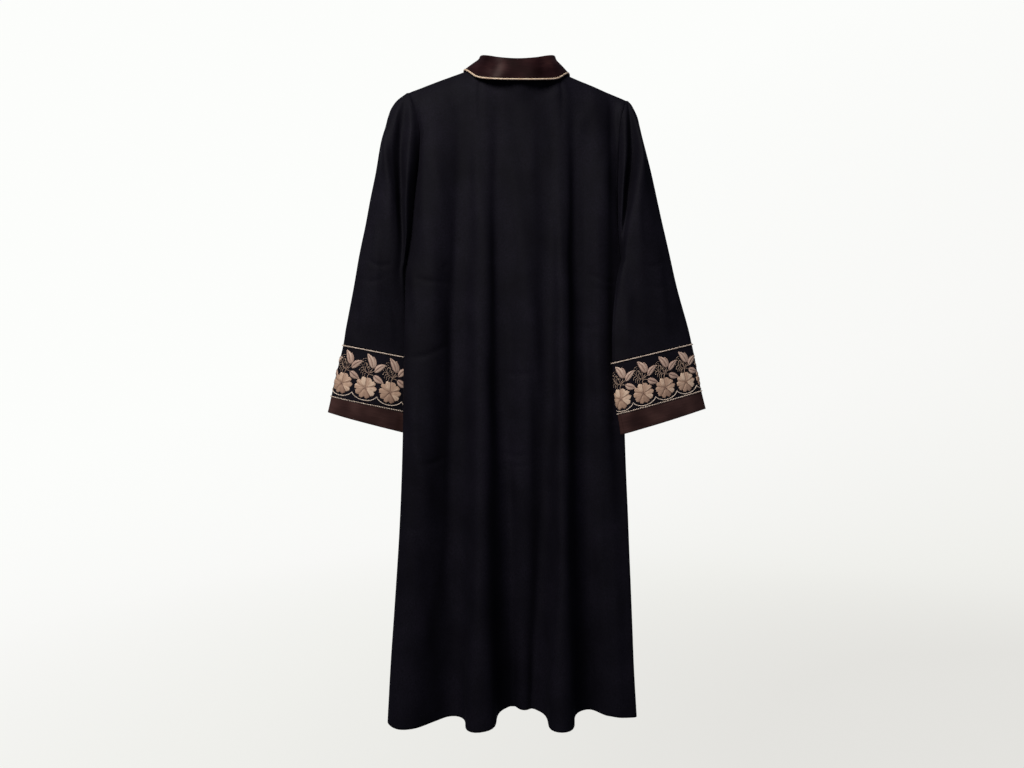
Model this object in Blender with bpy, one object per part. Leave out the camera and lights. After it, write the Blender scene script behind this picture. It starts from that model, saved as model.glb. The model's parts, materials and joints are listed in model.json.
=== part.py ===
"""Full-length abaya cloak, hanging from its shoulders with nobody in it.

The garment's back faces -Y and its front faces +Y; +X is the wearer's right.
The origin is the centre of the neck opening, level with the neck ends of the
shoulder seams. Tables and helpers work in millimetres, and a depth is how far a
point stands out towards the back (-Y). Meshes are made in metres.
"""

import math

import bmesh
import bpy
import numpy as np
from mathutils import Vector
from mathutils.geometry import delaunay_2d_cdt

MM = 0.001
SMOOTH_ANGLE = 40  # degrees; sharper edges are shaded as edges

# ---- driving dimensions ---------------------------------------------------
CLOTH = 1.5  # wall of the crepe panels
SATIN = 2.0  # wall of the interlined satin collar
NECK_BLEND = (0.8, 0.5, 0.25)  # how far the rows under the neck seam face as it does
UNDERARM_LEAN = 0.3  # how far the body's wall still faces out at the underarm
UNDERARM_APART = 2.0  # so back and front part there by this many usual gaps
SEAM_GAP = 0.3  # clear space between two pieces at a seam
UNDERARM_Z = -382.0  # height at which armhole, sleeve seam and side seam meet
SHOULDER_ROUND = 62.0  # drop in which the cloth turns over the shoulder line
CAP_START, CAP_END = -155.0, -256.0  # heights between which a sleeve's turned cap ends
LAP_LIFT = 2.6  # right front lies this far outside the left at the centre
PIPING = 3.2  # diameter of the cord sewn into the collar's edge
TRIM_CORD = 2.6  # diameter of the gold cords on the sleeve bands
MOTIF_RELIEF = 0.9  # height of the applied flowers and leaves above their ground
REPEAT_WIDTH = 47.0  # about the room each flower takes round a sleeve
MOTIF_PITCH = 49.0  # width of a repeat at which the shapes below have full size
FLOWER_RADIUS = 22.0
FLOWER_LOBES = 10
FLOWER_NOTCH = 0.86  # radius between two lobes, as a share of the flower's
FLOWER_SHIFT = -2.0  # the flowers' centres lie this far off the middle of a repeat

# ---- body -----------------------------------------------------------------
# Heights of the columns of the fold tables below.
LEVELS = dict(
    yoke=-75, blade=-256, underarm=-382, waist=-480, cuff=-660, knee=-984, hem=-1296
)
# One row for each fold line of the back, left to right: x where it meets the top
# edge, x at each level, depth at each level, height of the hem there.
BACK_LINES = (
    ("left_crest", -170, (-176, -172, -172, -174, -180, -198, -213),
     (30, 36, 38, 40, 42, 44, 45), -1304),
    ("trough_1", -118, (-119, -111, -110, -109, -111, -119, -125),
     (31, 27, 24, 21, 16, 8, 0), -1295),
    ("flute_1", -73, (-75, -71, -71, -71, -71, -71, -73),
     (35, 38, 41, 43, 46, 58, 75), -1298),
    ("trough_2", -36, (-34, -28, -27, -26, -26, -24, -22),
     (37, 32, 28, 25, 18, 4, -10), -1282),
    ("middle", 0, (6, 14, 17, 18, 18, 14, 10),
     (38, 38, 38, 37, 33, 16, -4), -1284),
    ("trough_3", 36, (50, 57, 58, 59, 59, 53, 40),
     (36, 32, 29, 27, 22, 8, 0), -1284),
    ("flute_2", 73, (95, 99, 100, 101, 99, 93, 85),
     (32, 36, 39, 41, 46, 58, 75), -1298),
    ("trough_4", 122, (139, 143, 146, 147, 143, 137, 131),
     (30, 22, 18, 16, 12, 2, -8), -1286),
    ("right_crest", 160, (164, 164, 164, 166, 168, 172, 182),
     (28, 28, 24, 20, 16, 12, 14), -1290),
    ("right_lay", 190, (190, 188, 193, 194, 196, 206, 216),
     (14, 14, 5, 1, -1, 10, 16), -1292),
)
# The same for the front, which faces +Y, so its depths are negative. The lines
# lap_left and lap_right are the edges of the overlap at the centre.
FRONT_LINES = (
    ("left_tuck", -176, (-185, -190, -200, -202, -200, -205, -222),
     (-14, -14, -2, 4, 10, 0, -14), -1300),
    ("left_ridge", -142, (-150, -150, -158, -160, -160, -168, -182),
     (-24, -30, -32, -33, -34, -46, -62), -1298),
    ("left_dip", -106, (-110, -108, -110, -112, -114, -120, -130),
     (-27, -28, -27, -26, -26, -30, -34), -1290),
    ("left_fold", -73, (-72, -68, -68, -68, -70, -76, -84),
     (-29, -33, -36, -38, -42, -56, -74), -1298),
    ("left_rest", -38, (-38, -36, -34, -34, -34, -36, -38),
     (-30, -31, -32, -33, -34, -36, -40), -1290),
    ("lap_left", -16, (-16, -16, -16, -16, -16, -16, -16),
     (-31, -31, -32, -33, -34, -36, -40), -1290),
    ("lap_right", 16, (16, 16, 16, 16, 16, 16, 16),
     (-31, -31, -32, -33, -34, -36, -40), -1290),
    ("right_rest", 38, (40, 40, 40, 40, 40, 42, 44),
     (-30, -31, -32, -33, -34, -36, -38), -1290),
    ("right_fold", 73, (78, 80, 82, 84, 86, 90, 96),
     (-29, -34, -37, -39, -43, -56, -72), -1297),
    ("right_dip", 112, (118, 120, 124, 126, 128, 132, 138),
     (-27, -28, -28, -28, -28, -30, -34), -1290),
    ("right_ridge", 150, (158, 158, 162, 166, 170, 176, 186),
     (-24, -29, -32, -34, -36, -46, -58), -1295),
)
# Side edges of the body: armhole seam above the underarm, side seam below it.
# Columns: height, x, depth of the back's edge, depth of the front's edge.
LEFT_EDGE = (
    (-43, -218, 0, 0), (-50, -215.5, 10, -9), (-62, -211, 16, -14),
    (-80, -205, 20, -17), (-125, -195, 17, -15), (-160, -196, 12, -12),
    (-256, -206, 8, -8), (-337, -214, 8, -2),
    (-382, -222, 6, 6), (-460, -225, 12, 12), (-600, -227, 20, 20),
    (-725, -228, 22, 22), (-903, -234, 22, 22), (-1065, -244, 22, 22),
    (-1180, -252, 21, 21), (-1307, -259, 20, 20),
)
RIGHT_EDGE = (
    (-59, 217, 0, 0), (-66, 215, 9, -9), (-77, 211.8, 15, -13),
    (-92, 207.5, 18, -16), (-125, 203, 16, -14), (-160, 202, 11, -11),
    (-256, 200, 5, -10), (-337, 203, 1, -7),
    (-382, 208, -2, -2), (-480, 211, -7, -7), (-600, 214, -10, -10),
    (-725, 216, -9, -9), (-903, 222, -3, -3), (-1065, 228, 1, 1),
    (-1200, 233, 4, 4), (-1307, 239, 5, 5),
)
LEFT_HEM, RIGHT_HEM = -1298, -1293
NECK_POINT_X = 73  # half the width of the neck opening at the shoulder seams
LEFT_SHOULDER = ((-105, -1.5), (-218, -43))  # x, z of the seam's straight stretch
RIGHT_SHOULDER = ((105, -12), (217, -59))

# Rows of the body: shares of the way from the top edge to the blade level, then
# heights, then shares of the way from the last height to the hem.
TOP_SHARES = (0, 0.025, 0.08, 0.18, 0.37, 0.67)
MIDDLE_ROWS = (-256, -320, -358, -382, -430, -520, -640, -800, -984, -1150)
HEM_SHARES = (1,)
# Places of the columns between two fold lines: close to the lines, where it bends.
STEPS = (0, 0.17, 0.83)
ROUNDNESS = 1.45  # above 1, folds have round crests and steeper sides
SIDE_SWING = 30.0  # least pull, front and back, that rounds the body's side edges
SWING_START = 150.0  # drop below the underarm in which that pull sets in
SIDE_DEPTH = 1.3  # pull at a side edge, as a share of the depth to the next fold line
SIDE_REACH = (0.8, 0.15)  # the same across, above the underarm and well below it
LAP_LINES = 4  # fold lines over which the right front settles from the lap to its seam
# The back's two organ-pipe flutes, and the heights between which their flat crests and
# steep sides set in.
FLUTES = ("flute_1", "flute_2")
FLUTE_START, FLUTE_FULL = -984.0, -1296.0
FLUTE_TIGHT = 1.2  # how closely the columns draw in to a flute's two sides
FLUTE_BROAD = 0.08  # how far those sides stand out from halfway to the next trough

# ---- collar ---------------------------------------------------------------
# One row for each station of the right half, from centre back to centre front:
# neck seam, fold, and edge of the leaf, each as x, depth, z.
COLLAR_STATIONS = (
    ("centre_back", (0, 46, -24), (0, 52, 5), (0, 56, -34), 0),
    ("back", (30, 42, -20), (32, 49, 8), (42, 55, -33), 0.1),
    ("back_side", (54, 28, -10), (54, 34, 17), (77, 42, -25), 0.35),
    ("side_back", (68, 12, 0), (65, 14, 25), (97, 20, -6), 0.6),
    ("side", (73, 0, 3), (68, 0, 27), (106, 0, 2.5), 1),
    ("side_front", (70, -14, -4), (65, -17, 18), (104, -22, -11), 0.8),
    ("front_side", (54, -28, -34), (52, -33, -12), (93, -40, -52), 0.4),
    ("front", (31, -31, -60), (31, -36, -38), (68, -44, -90), 0.1),
    ("centre_front", (5, -31, -73), (7, -37, -52), (38, -43, -116), 0),
)
RIGHT_SAG = (-4, 0, -8)  # how far in and down the leaf lies lower on the right shoulder

FOLD_DROP = 5.0  # the cloth starts to turn over this far below the fold
FOLD_BULGE = 2.0  # how far the leaf stands out beside its straight line
# Rows of the leaf from the fold to its edge. Columns: share of the way out, share of
# the way down, share of the bulge, and lift above the straight line.
LEAF_ROWS = ((0.18, 0, 0, 0.75), (0.24, 0.24, 1, 0), (0.62, 0.62, 0.7, 0), (1, 1, 0, 0))

# ---- sleeves --------------------------------------------------------------
# Columns of the sleeve tables: heights at which the lines are given.
SLEEVE_LEVELS = (-60, -118, -256, -382, -480, -580, -720)
# One row for each line round the sleeve, from the armhole's back (the inner edge
# below the underarm), over the outer edge, to the armhole's front: its place
# between the inner edge (0) and the outer edge (1), and its depth.
LEFT_SLEEVE = dict(
    outer=((-43, -219), (-58, -241), (-75, -254), (-91, -260), (-115, -265),
           (-155, -275), (-256, -295), (-357, -315), (-438, -331), (-550, -351),
           (-620, -368), (-685, -382)),
    inner=((-382, -222, 6), (-400, -226.5, 0), (-430, -224.5, -5), (-480, -217, -8),
           (-580, -209, -10), (-650, -209, -9), (-727, -218, -7)),
    lines=(
        ("seam_ridge", (0.15, 0.22, 0.16, 0.04, 0.06, 0.08, 0.08), (22, 27, 31, 18, 2, 0, 0)),
        ("groove", (0.35, 0.48, 0.31, 0.11, 0.16, 0.20, 0.20), (22, 17, 9, 16, 9, 6, 5)),
        ("inner_ridge", (0.60, 0.70, 0.42, 0.24, 0.32, 0.36, 0.36), (26, 26, 24, 24, 16, 12, 11)),
        ("outer_ridge", (0.85, 0.92, 0.55, 0.45, 0.52, 0.56, 0.56), (20, 24, 30, 26, 20, 15, 13)),
        ("flank", (0.95, 0.97, 0.80, 0.75, 0.78, 0.80, 0.80), (12, 12, 20, 20, 17, 13, 11)),
        ("outer_edge", (1, 1, 1, 1, 1, 1, 1), (0, 0, 0, -2, -4, -6, -6)),
        ("front_outer", (0.90, 0.90, 0.80, 0.75, 0.75, 0.78, 0.78), (-14, -16, -22, -26, -26, -22, -20)),
        ("front_middle", (0.60, 0.60, 0.50, 0.45, 0.48, 0.50, 0.50), (-20, -26, -28, -26, -30, -28, -25)),
        ("front_inner", (0.30, 0.30, 0.25, 0.15, 0.20, 0.22, 0.22), (-16, -20, -22, -14, -24, -25, -22)),
    ),
    # heights of the outer and inner ends of the rings that end each piece
    band_top=(-550, -578), band_end=(-653, -687), cuff_end=(-685, -729),
    layout_start=25, layout_shift=-2.5, flower_level=0.7,
)
RIGHT_SLEEVE = dict(
    outer=((-59, 219), (-67, 227), (-75, 232), (-91, 240), (-115, 246),
           (-155, 256), (-256, 279), (-357, 301), (-438, 319), (-549, 346),
           (-620, 359), (-677, 372)),
    inner=((-382, 208, -2), (-400, 204, 5), (-430, 198, 14), (-480, 190, 29),
           (-520, 187, 33), (-580, 187, 36), (-650, 192, 38), (-727, 204, 38)),
    lines=(
        ("seam_ridge", (0.25, 0.24, 0.10, 0.0, 0.01, 0.01, 0.01), (18, 24, 22, 9, 35, 42, 43)),
        ("groove", (0.40, 0.50, 0.27, 0.01, 0.05, 0.05, 0.05), (18, 13, 7, 24, 39, 46, 47)),
        ("inner_ridge", (0.60, 0.75, 0.38, 0.08, 0.16, 0.17, 0.17), (22, 24, 32, 35, 42, 49, 50)),
        ("outer_ridge", (0.85, 0.90, 0.58, 0.40, 0.42, 0.42, 0.42), (20, 28, 34, 37, 42, 49, 50)),
        ("flank", (0.95, 0.97, 0.82, 0.76, 0.76, 0.76, 0.76), (12, 14, 20, 24, 30, 37, 39)),
        ("outer_edge", (1, 1, 1, 1, 1, 1, 1), (0, 0, 0, 2, 8, 18, 22)),
        ("front_outer", (0.90, 0.90, 0.80, 0.76, 0.76, 0.76, 0.76), (-12, -14, -18, -14, -2, 11, 15)),
        ("front_middle", (0.60, 0.60, 0.50, 0.45, 0.45, 0.45, 0.45), (-18, -22, -22, -14, 4, 16, 20)),
        ("front_inner", (0.30, 0.30, 0.22, 0.16, 0.16, 0.14, 0.14), (-14, -16, -16, -8, 10, 22, 25)),
    ),
    band_top=(-549, -587), band_end=(-642, -687), cuff_end=(-677, -727),
    layout_start=2, layout_shift=-10, flower_level=0.725,
)
# The other applied shapes of one repeat: base, tip, width, and the outline's profile.
# Places are right of and below the flower's centre; a profile is pairs of place along
# the shape and share of its width.
BAND_MOTIFS = (
    ("bud", (11, -41), (-4, -69), 15, ((0.2, 0.8), (0.6, 1), (0.85, 0.6))),
    ("leaf_up", (15, -34), (34, -52.5), 12, ((0.3, 0.85), (0.65, 0.9))),
    ("leaf_side", (12.5, -27), (33, -17), 14, ((0.3, 0.9), (0.7, 0.8))),
)
GROUND_ROWS = (0.1, 0.3, 0.55, 0.9)  # rows of loose points in a band's ground
GROUND_ROOM = 3.0  # least room between a loose point and a motif
MERGE = 0.01  # points of a band closer than this are one
LEAST_TURN = 0.9  # cosine of a turn between two columns from which it counts as sharp
SNAP = 0.9  # an outline's point this close to such a turn is put on it
BAND_RINGS = 5  # rings of the surface on which a band is laid out
RING_STEP = 9.0  # drop between the two rings that give a sewn cord its direction
LEAST_BEND = 0.5  # cosine that limits how far a cord moves out at a sharp bend
CORD_SIDES = 5
SLEEVE_SHARES = (0.1, 0.28, 0.6, 1)  # rows from underarm to band
SLEEVE_STEPS = (0, 2 / 6, 4 / 6)
FINE_STEPS = (0, 1 / 6, 2 / 6, 3 / 6, 4 / 6, 5 / 6)
FINER = len(FINE_STEPS) // len(SLEEVE_STEPS)


# ---- curves ---------------------------------------------------------------
def level_value(heights, values, z):
    """Smooth value at height z of a quantity given at falling heights."""
    h = -np.asarray(heights, float)
    v = np.asarray(values, float)
    slope = np.gradient(v, h)
    q = min(max(-z, h[0]), h[-1])
    i = min(int(np.searchsorted(h, q, side="right")) - 1, len(h) - 2)
    span = h[i + 1] - h[i]
    t = (q - h[i]) / span
    return (
        v[i] * (2 * t**3 - 3 * t**2 + 1)
        + v[i + 1] * (3 * t**2 - 2 * t**3)
        + slope[i] * span * (t**3 - 2 * t**2 + t)
        + slope[i + 1] * span * (t**3 - t**2)
    )


def table_value(table, column, z):
    """Smooth value at height z of one column of a table of rows (height, ...)."""
    return level_value([row[0] for row in table], [row[column] for row in table], z)


def curve_through(knots, steps, ends=None, roundness=1.0):
    """Points of a smooth curve through knots, at these steps of each stretch.

    ends are the tangents at the first and last knot.
    """
    k = np.asarray(knots, float)
    tangent = np.gradient(k, axis=0) * roundness
    if ends is not None:
        tangent[0], tangent[-1] = ends
    points = []
    for i in range(len(k) - 1):
        for t in steps:
            points.append(
                k[i] * (2 * t**3 - 3 * t**2 + 1)
                + k[i + 1] * (3 * t**2 - 2 * t**3)
                + tangent[i] * (t**3 - 2 * t**2 + t)
                + tangent[i + 1] * (t**3 - t**2)
            )
    points.append(k[-1])
    return np.array(points)


def unit(vectors):
    v = np.asarray(vectors, float)
    return v / np.maximum(np.linalg.norm(v, axis=-1, keepdims=True), 1e-9)


def rounded_over(depth, drop):
    """Depth of a surface that turns over an edge, at a drop below that edge."""
    turn = min(max(drop / SHOULDER_ROUND, 0), 1)
    return depth * math.sqrt(1 - (1 - turn) ** 2)


# ---- meshes ---------------------------------------------------------------
def material(name, colour, roughness, metallic=0.0):
    made = bpy.data.materials.new(name)
    made.use_nodes = True
    shader = made.node_tree.nodes["Principled BSDF"]
    shader.inputs["Base Color"].default_value = (*colour, 1)
    shader.inputs["Roughness"].default_value = roughness
    shader.inputs["Metallic"].default_value = metallic
    return made


def solid(name, points, faces, finish):
    """One closed object, from points in millimetres."""
    mesh = bpy.data.meshes.new(name)
    mesh.from_pydata([tuple(p * MM) for p in points], [], [tuple(f) for f in faces])
    tidy = bmesh.new()
    tidy.from_mesh(mesh)
    bmesh.ops.recalc_face_normals(tidy, faces=tidy.faces)
    if tidy.calc_volume(signed=True) < 0:
        bmesh.ops.reverse_faces(tidy, faces=tidy.faces)
    tidy.to_mesh(mesh)
    tidy.free()
    mesh.shade_smooth()
    mesh.set_sharp_from_angle(angle=math.radians(SMOOTH_ANGLE))
    mesh.materials.append(finish)
    made = bpy.data.objects.new(name, mesh)
    bpy.context.scene.collection.objects.link(made)
    return made


def grid_faces(rows, columns, index):
    """Quads of a grid whose point numbers index(row, column) gives."""
    faces = []
    for r in range(rows - 1):
        for c in range(columns - 1):
            corners = [index(r, c), index(r + 1, c), index(r + 1, c + 1), index(r, c + 1)]
            kept = [p for i, p in enumerate(corners) if p != corners[i - 1]]
            if len(kept) > 2:
                faces.append(tuple(kept))
    return faces


def split_quads(points, faces):
    """Each quad as two triangles, cut along its shorter diagonal."""
    split = []
    for face in faces:
        if len(face) < 4:
            split.append(face)
            continue
        a, b, c, d = face
        p = points[list(face)]
        if np.linalg.norm(p[2] - p[0]) <= np.linalg.norm(p[3] - p[1]):
            split += [(a, b, c), (a, c, d)]
        else:
            split += [(a, b, d), (b, c, d)]
    return split


def sheet_normals(points, faces):
    """Mean unit normal of the faces round each point."""
    total = np.zeros_like(points)
    for face in faces:
        p = points[list(face)]
        across = np.cross(p[2] - p[0], p[-1] - p[1])
        for corner in face:
            total[corner] += across
    return unit(total)


class Sheet:
    """A grid of points with the direction of the wall at each of them."""

    def __init__(self, grid, facing_in=False, one_top=False, closed_from=None):
        self.grid = np.array(grid, float)
        self.rows, self.columns = self.grid.shape[:2]
        self.one_top = one_top
        self.closed_from = self.rows if closed_from is None else closed_from
        faces = grid_faces(self.rows, self.columns, self.index)
        self.faces = [tuple(reversed(f)) for f in faces] if facing_in else faces
        flat = sheet_normals(self.grid.reshape(-1, 3), self.faces)
        order = [
            [self.index(r, c) for c in range(self.columns)] for r in range(self.rows)
        ]
        self.normal = flat[np.array(order)]

    def index(self, r, c):
        if self.one_top and r == 0:
            return 0
        if r >= self.closed_from and c == self.columns - 1:
            return r * self.columns
        return r * self.columns + c

    def set_back(self, where, beside, along, gap=SEAM_GAP / 2):
        """Move the point at where off its seam, into the sheet."""
        inward = self.grid[beside] - self.grid[where]
        w = self.normal[where]
        t = unit(along - np.dot(along, w) * w)
        inward = inward - np.dot(inward, w) * w
        inward = inward - np.dot(inward, t) * t
        return self.grid[where] + unit(inward) * gap

    def wall(self, name, thickness, finish):
        points = self.grid.reshape(-1, 3)
        n = self.normal.reshape(-1, 3)
        return cloth_wall(name, points, self.faces, n, thickness, finish)


def cloth_wall(name, points, faces, normals, thickness, finish):
    """A sheet made into a closed wall, half the thickness to each side."""
    used = sorted({corner for face in faces for corner in face})
    number = {corner: i for i, corner in enumerate(used)}
    faces = [tuple(number[c] for c in face) for face in faces]
    p, n = points[used], normals[used]
    # Both sides are cut along the same diagonals, so that they never meet.
    faces = split_quads(p, faces)
    count = len(used)
    both = np.concatenate([p + n * thickness / 2, p - n * thickness / 2])
    walls = list(faces) + [tuple(c + count for c in reversed(f)) for f in faces]
    edges = {(a, b) for face in faces for a, b in zip(face, (*face[1:], face[0]))}
    walls += [
        (b, a, a + count, b + count) for a, b in sorted(edges) if (b, a) not in edges
    ]
    return solid(name, both, walls, finish)


def tube(name, path, directions, radius, sides, finish, closed):
    """A cord along path. directions are square to the path at each point."""
    p = np.asarray(path, float)
    along = np.roll(p, -1, 0) - np.roll(p, 1, 0)
    if not closed:
        along[0], along[-1] = p[1] - p[0], p[-1] - p[-2]
    t = unit(along)
    a = np.asarray(directions, float)
    a = unit(a - (a * t).sum(1, keepdims=True) * t)
    b = np.cross(t, a)
    points = []
    for i in range(len(p)):
        for k in range(sides):
            angle = 2 * math.pi * (k + 0.5) / sides
            points.append(p[i] + radius * (math.cos(angle) * a[i] + math.sin(angle) * b[i]))
    faces = []
    for i in range(len(p) if closed else len(p) - 1):
        j = (i + 1) % len(p)
        for k in range(sides):
            m = (k + 1) % sides
            faces.append((i * sides + k, i * sides + m, j * sides + m, j * sides + k))
    if not closed:
        last = (len(p) - 1) * sides
        faces.append(tuple(range(sides)))
        faces.append(tuple(last + k for k in reversed(range(sides))))
    return solid(name, np.array(points), faces, finish)


# ---- the neck seam and the top edges --------------------------------------
def point_of(x_depth_z):
    x, depth, z = x_depth_z
    return np.array([x, -depth, z], float)


def collar_curve(part, steps=FINE_STEPS):
    """Seam, fold or leaf edge (part 1, 2 or 3) from left front round to right front."""
    right = [point_of(row[part]) for row in COLLAR_STATIONS]
    left = [p * (-1, 1, 1) for p in right[:0:-1]]
    if part == 3:
        right = [p + np.array(RIGHT_SAG) * row[4] for p, row in zip(right, COLLAR_STATIONS)]
    return curve_through(left + right, steps)


def neck_points(front, count):
    """Even points of the neck seam, left to right over the back or the front.

    Beside them come their places along the collar, counted in points of its curves.
    """
    seam = collar_curve(1)
    middle = len(seam) // 2
    side = 4 * len(FINE_STEPS)
    if front:
        places = [*range(middle - side, -1, -1), *range(len(seam) - 1, middle + side - 1, -1)]
    else:
        places = [*range(middle - side, middle + side + 1)]
    path = seam[places]
    steps = np.linalg.norm(np.diff(path, axis=0), axis=1)
    along = np.concatenate([[0], np.cumsum(steps)])
    wanted = np.linspace(0, along[-1], count)
    points = np.stack([np.interp(wanted, along, path[:, k]) for k in range(3)], 1)
    return points, np.interp(wanted, along, places)


def neck_wall(point):
    """Direction of the cloth wall at the neck seam, shared by body and collar."""
    outward = unit(point * (1, 1, 0))
    return unit(outward + (0, 0, (abs(point[0]) / NECK_POINT_X) ** 3))


def shoulder_z(x):
    """Height of the shoulder seam at x."""
    (near_x, near_z), (tip_x, tip_z) = LEFT_SHOULDER if x < 0 else RIGHT_SHOULDER
    share = (abs(x) - abs(near_x)) / (abs(tip_x) - abs(near_x))
    if share >= 0:
        return near_z + share * (tip_z - near_z)
    neck = COLLAR_STATIONS[4][1][2]
    t = (abs(x) - NECK_POINT_X) / (abs(near_x) - NECK_POINT_X)
    return neck + (near_z - neck) * t


def shoulder_normal(x):
    """Upward direction square to the shoulder seam at x."""
    rise = shoulder_z(x + 1) - shoulder_z(x - 1)
    return unit((-rise / 2, 0, 1))


# ---- body panels ----------------------------------------------------------
def side_point(edge, front, z):
    """Point of the body's side at height z. Back and front share it below the arm."""
    depths = [table_value(edge, column, z) for column in (2, 3)]
    depth = depths[1 if front else 0] if z > UNDERARM_Z else sum(depths) / 2
    return (table_value(edge, 1, z), -depth, z)


def square_flutes(ring, lines):
    """Give the flutes of one row their flat crests and steep sides, by its height."""
    names = [row[0] for row in lines]
    t = np.array([*STEPS, 1])
    place = t + FLUTE_TIGHT * np.sin(2 * math.pi * t) / (2 * math.pi) + FLUTE_BROAD * 4 * t * (1 - t)
    for name in FLUTES:
        crest = (names.index(name) + 1) * len(STEPS)
        share = min(max((FLUTE_START - ring[crest, 2]) / (FLUTE_START - FLUTE_FULL), 0), 1)
        for way in (-1, 1):
            columns = crest + way * np.arange(len(STEPS) + 1)
            reach = ring[columns[-1], 0] - ring[crest, 0]
            wanted = ring[crest, 0] + reach * place
            ring[columns, 0] += (wanted - ring[columns, 0]) * share * share * (3 - 2 * share)


def body_grid(lines, front):
    """Points of the whole back or front, and its first and last neck column."""
    facing = 1 if front else -1
    levels = tuple(LEVELS.values())
    top_x = [LEFT_SHOULDER[1][0], *(row[1] for row in lines), RIGHT_SHOULDER[1][0]]
    hems = [LEFT_HEM, *(row[4] for row in lines), RIGHT_HEM]
    inside = [i for i, x in enumerate(top_x) if abs(x) <= NECK_POINT_X]
    first, last = inside[0], inside[-1]
    neck, _ = neck_points(front, last - first + 1)
    tops = [neck[i - first] if i in inside else (x, 0, shoulder_z(x)) for i, x in enumerate(top_x)]

    def knot(i, z):
        """Point of line i at height z."""
        drop = tops[i][2] - z
        if i in (0, len(lines) + 1):
            return side_point(LEFT_EDGE if i == 0 else RIGHT_EDGE, front, z)
        row = lines[i - 1]
        share = min(max(drop / (tops[i][2] - levels[0]), 0), 1)
        if i in inside:
            share = min(drop / SHOULDER_ROUND, 1)
        eased = share * share * (3 - 2 * share)
        x = tops[i][0] + (level_value(levels, row[2], z) - tops[i][0]) * eased
        y = -level_value(levels, row[3], z)
        if first < i < last:
            return (x, tops[i][1] + (y - tops[i][1]) * eased, z)
        return (x, rounded_over(y, drop), z)

    stages = [(0, s) for s in TOP_SHARES] + [(1, z) for z in MIDDLE_ROWS]
    stages += [(2, s) for s in HEM_SHARES]
    grid = []
    for stage, value in stages:
        knots = []
        for i, top in enumerate(tops):
            if stage == 0:
                z = top[2] + (MIDDLE_ROWS[0] - top[2]) * value
            elif stage == 1:
                z = value
            else:
                z = MIDDLE_ROWS[-1] + (hems[i] - MIDDLE_ROWS[-1]) * value
            knots.append(knot(i, z))
        knots = np.array(knots)
        ends = []
        for end, beside, towards in ((0, 1, 1), (-1, -2, -1)):
            out = knots[beside] - knots[end]
            below = min(max((UNDERARM_Z - knots[end][2]) / SWING_START, 0), 1)
            swing = max(abs(out[1]) * SIDE_DEPTH, SIDE_SWING * below)
            reach = SIDE_REACH[0] + (SIDE_REACH[1] - SIDE_REACH[0]) * below
            ends.append(towards * np.array([reach * out[0], facing * swing, out[2]]))
        ring = curve_through(knots, STEPS, ends, ROUNDNESS)
        if not front:
            square_flutes(ring, lines)
        grid.append(ring)
    grid = np.array(grid)

    # The top row is put exactly on the shoulder and neck seams, and the rows under
    # it follow by less and less.
    a, b = first * len(STEPS), last * len(STEPS)
    wanted = grid[0].copy()
    for c in [*range(a), *range(b + 1, grid.shape[1])]:
        wanted[c] = (grid[0][c][0], 0, shoulder_z(grid[0][c][0]))
    wanted[a : b + 1], _ = neck_points(front, b - a + 1)
    shift = wanted - grid[0]
    for r, share in enumerate(TOP_SHARES):
        grid[r] += shift * (1 - share) ** 3
    return grid, a, b


def set_top_normals(sheet, a, b):
    """Wall directions along the shoulder seams, and along the neck from a to b."""
    for c in range(sheet.columns):
        point = sheet.grid[0, c]
        on_neck = a <= c <= b
        sheet.normal[0, c] = neck_wall(point) if on_neck else shoulder_normal(point[0])
        if on_neck:
            for r, share in enumerate(NECK_BLEND, 1):
                wall = neck_wall(sheet.grid[r, c])
                sheet.normal[r, c] = unit(wall * share + sheet.normal[r, c] * (1 - share))


# ---- sleeves --------------------------------------------------------------
def sleeve_knots(sleeve, outer_z, inner_z, back_point=None, front_point=None):
    """Knots of one ring of a sleeve, from the armhole's back round to its front."""
    outer_x = table_value(sleeve["outer"], 1, outer_z)
    if back_point is None:
        inner_x = table_value(sleeve["inner"], 1, inner_z)
        back_point = (inner_x, -table_value(sleeve["inner"], 2, inner_z), inner_z)
        front_point = back_point
    inner_x = back_point[0]
    knots = [back_point]
    outline = sorted((abs(x), z) for z, x in sleeve["outer"])
    for _, shares, depths in sleeve["lines"]:
        share = level_value(SLEEVE_LEVELS, shares, (outer_z + inner_z) / 2)
        x = inner_x + share * (outer_x - inner_x)
        z = inner_z + share * (outer_z - inner_z)
        top = np.interp(abs(x), [p[0] for p in outline], [p[1] for p in outline])
        depth = level_value(SLEEVE_LEVELS, depths, z)
        cap = min(max((z - CAP_END) / (CAP_START - CAP_END), 0), 1)
        depth += (rounded_over(depth, top - z) - depth) * cap
        knots.append((x, -depth, z))
    knots.append(front_point)
    return np.array(knots, float)


def ring_curve(knots, steps, closed):
    """Smooth ring through knots. A closed one meets itself at its first knot."""
    if closed:
        end = (knots[1] - knots[-2]) / 2
        return curve_through(knots, steps, (end, end))
    ends = (knots[1] - knots[0], knots[-1] - knots[-2])
    return curve_through(knots, steps, ends)


def cut_heights(start, end, share):
    """Heights of the outer and inner ends of a slanted cut between two others."""
    return (
        start[0] + (end[0] - start[0]) * share,
        start[1] + (end[1] - start[1]) * share,
    )


def cut_across(cut, sleeve):
    """Direction square to a sleeve's slanted cut, pointing down the sleeve."""
    outer = table_value(sleeve["outer"], 1, cut[0])
    inner = table_value(sleeve["inner"], 1, cut[1])
    along = unit((outer - inner, 0, cut[0] - cut[1]))
    down = np.array([-along[2], 0, along[0]])
    return down if down[2] < 0 else -down


def flatten_end(sheet, r, down, way):
    """Bring the ring r into its cut, moved along the sleeve by half the seam gap."""
    flat = sheet.normal[r] - np.outer(sheet.normal[r] @ down, down)
    sheet.normal[r] = unit(flat)
    sheet.grid[r] += down * way * SEAM_GAP / 2


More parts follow.
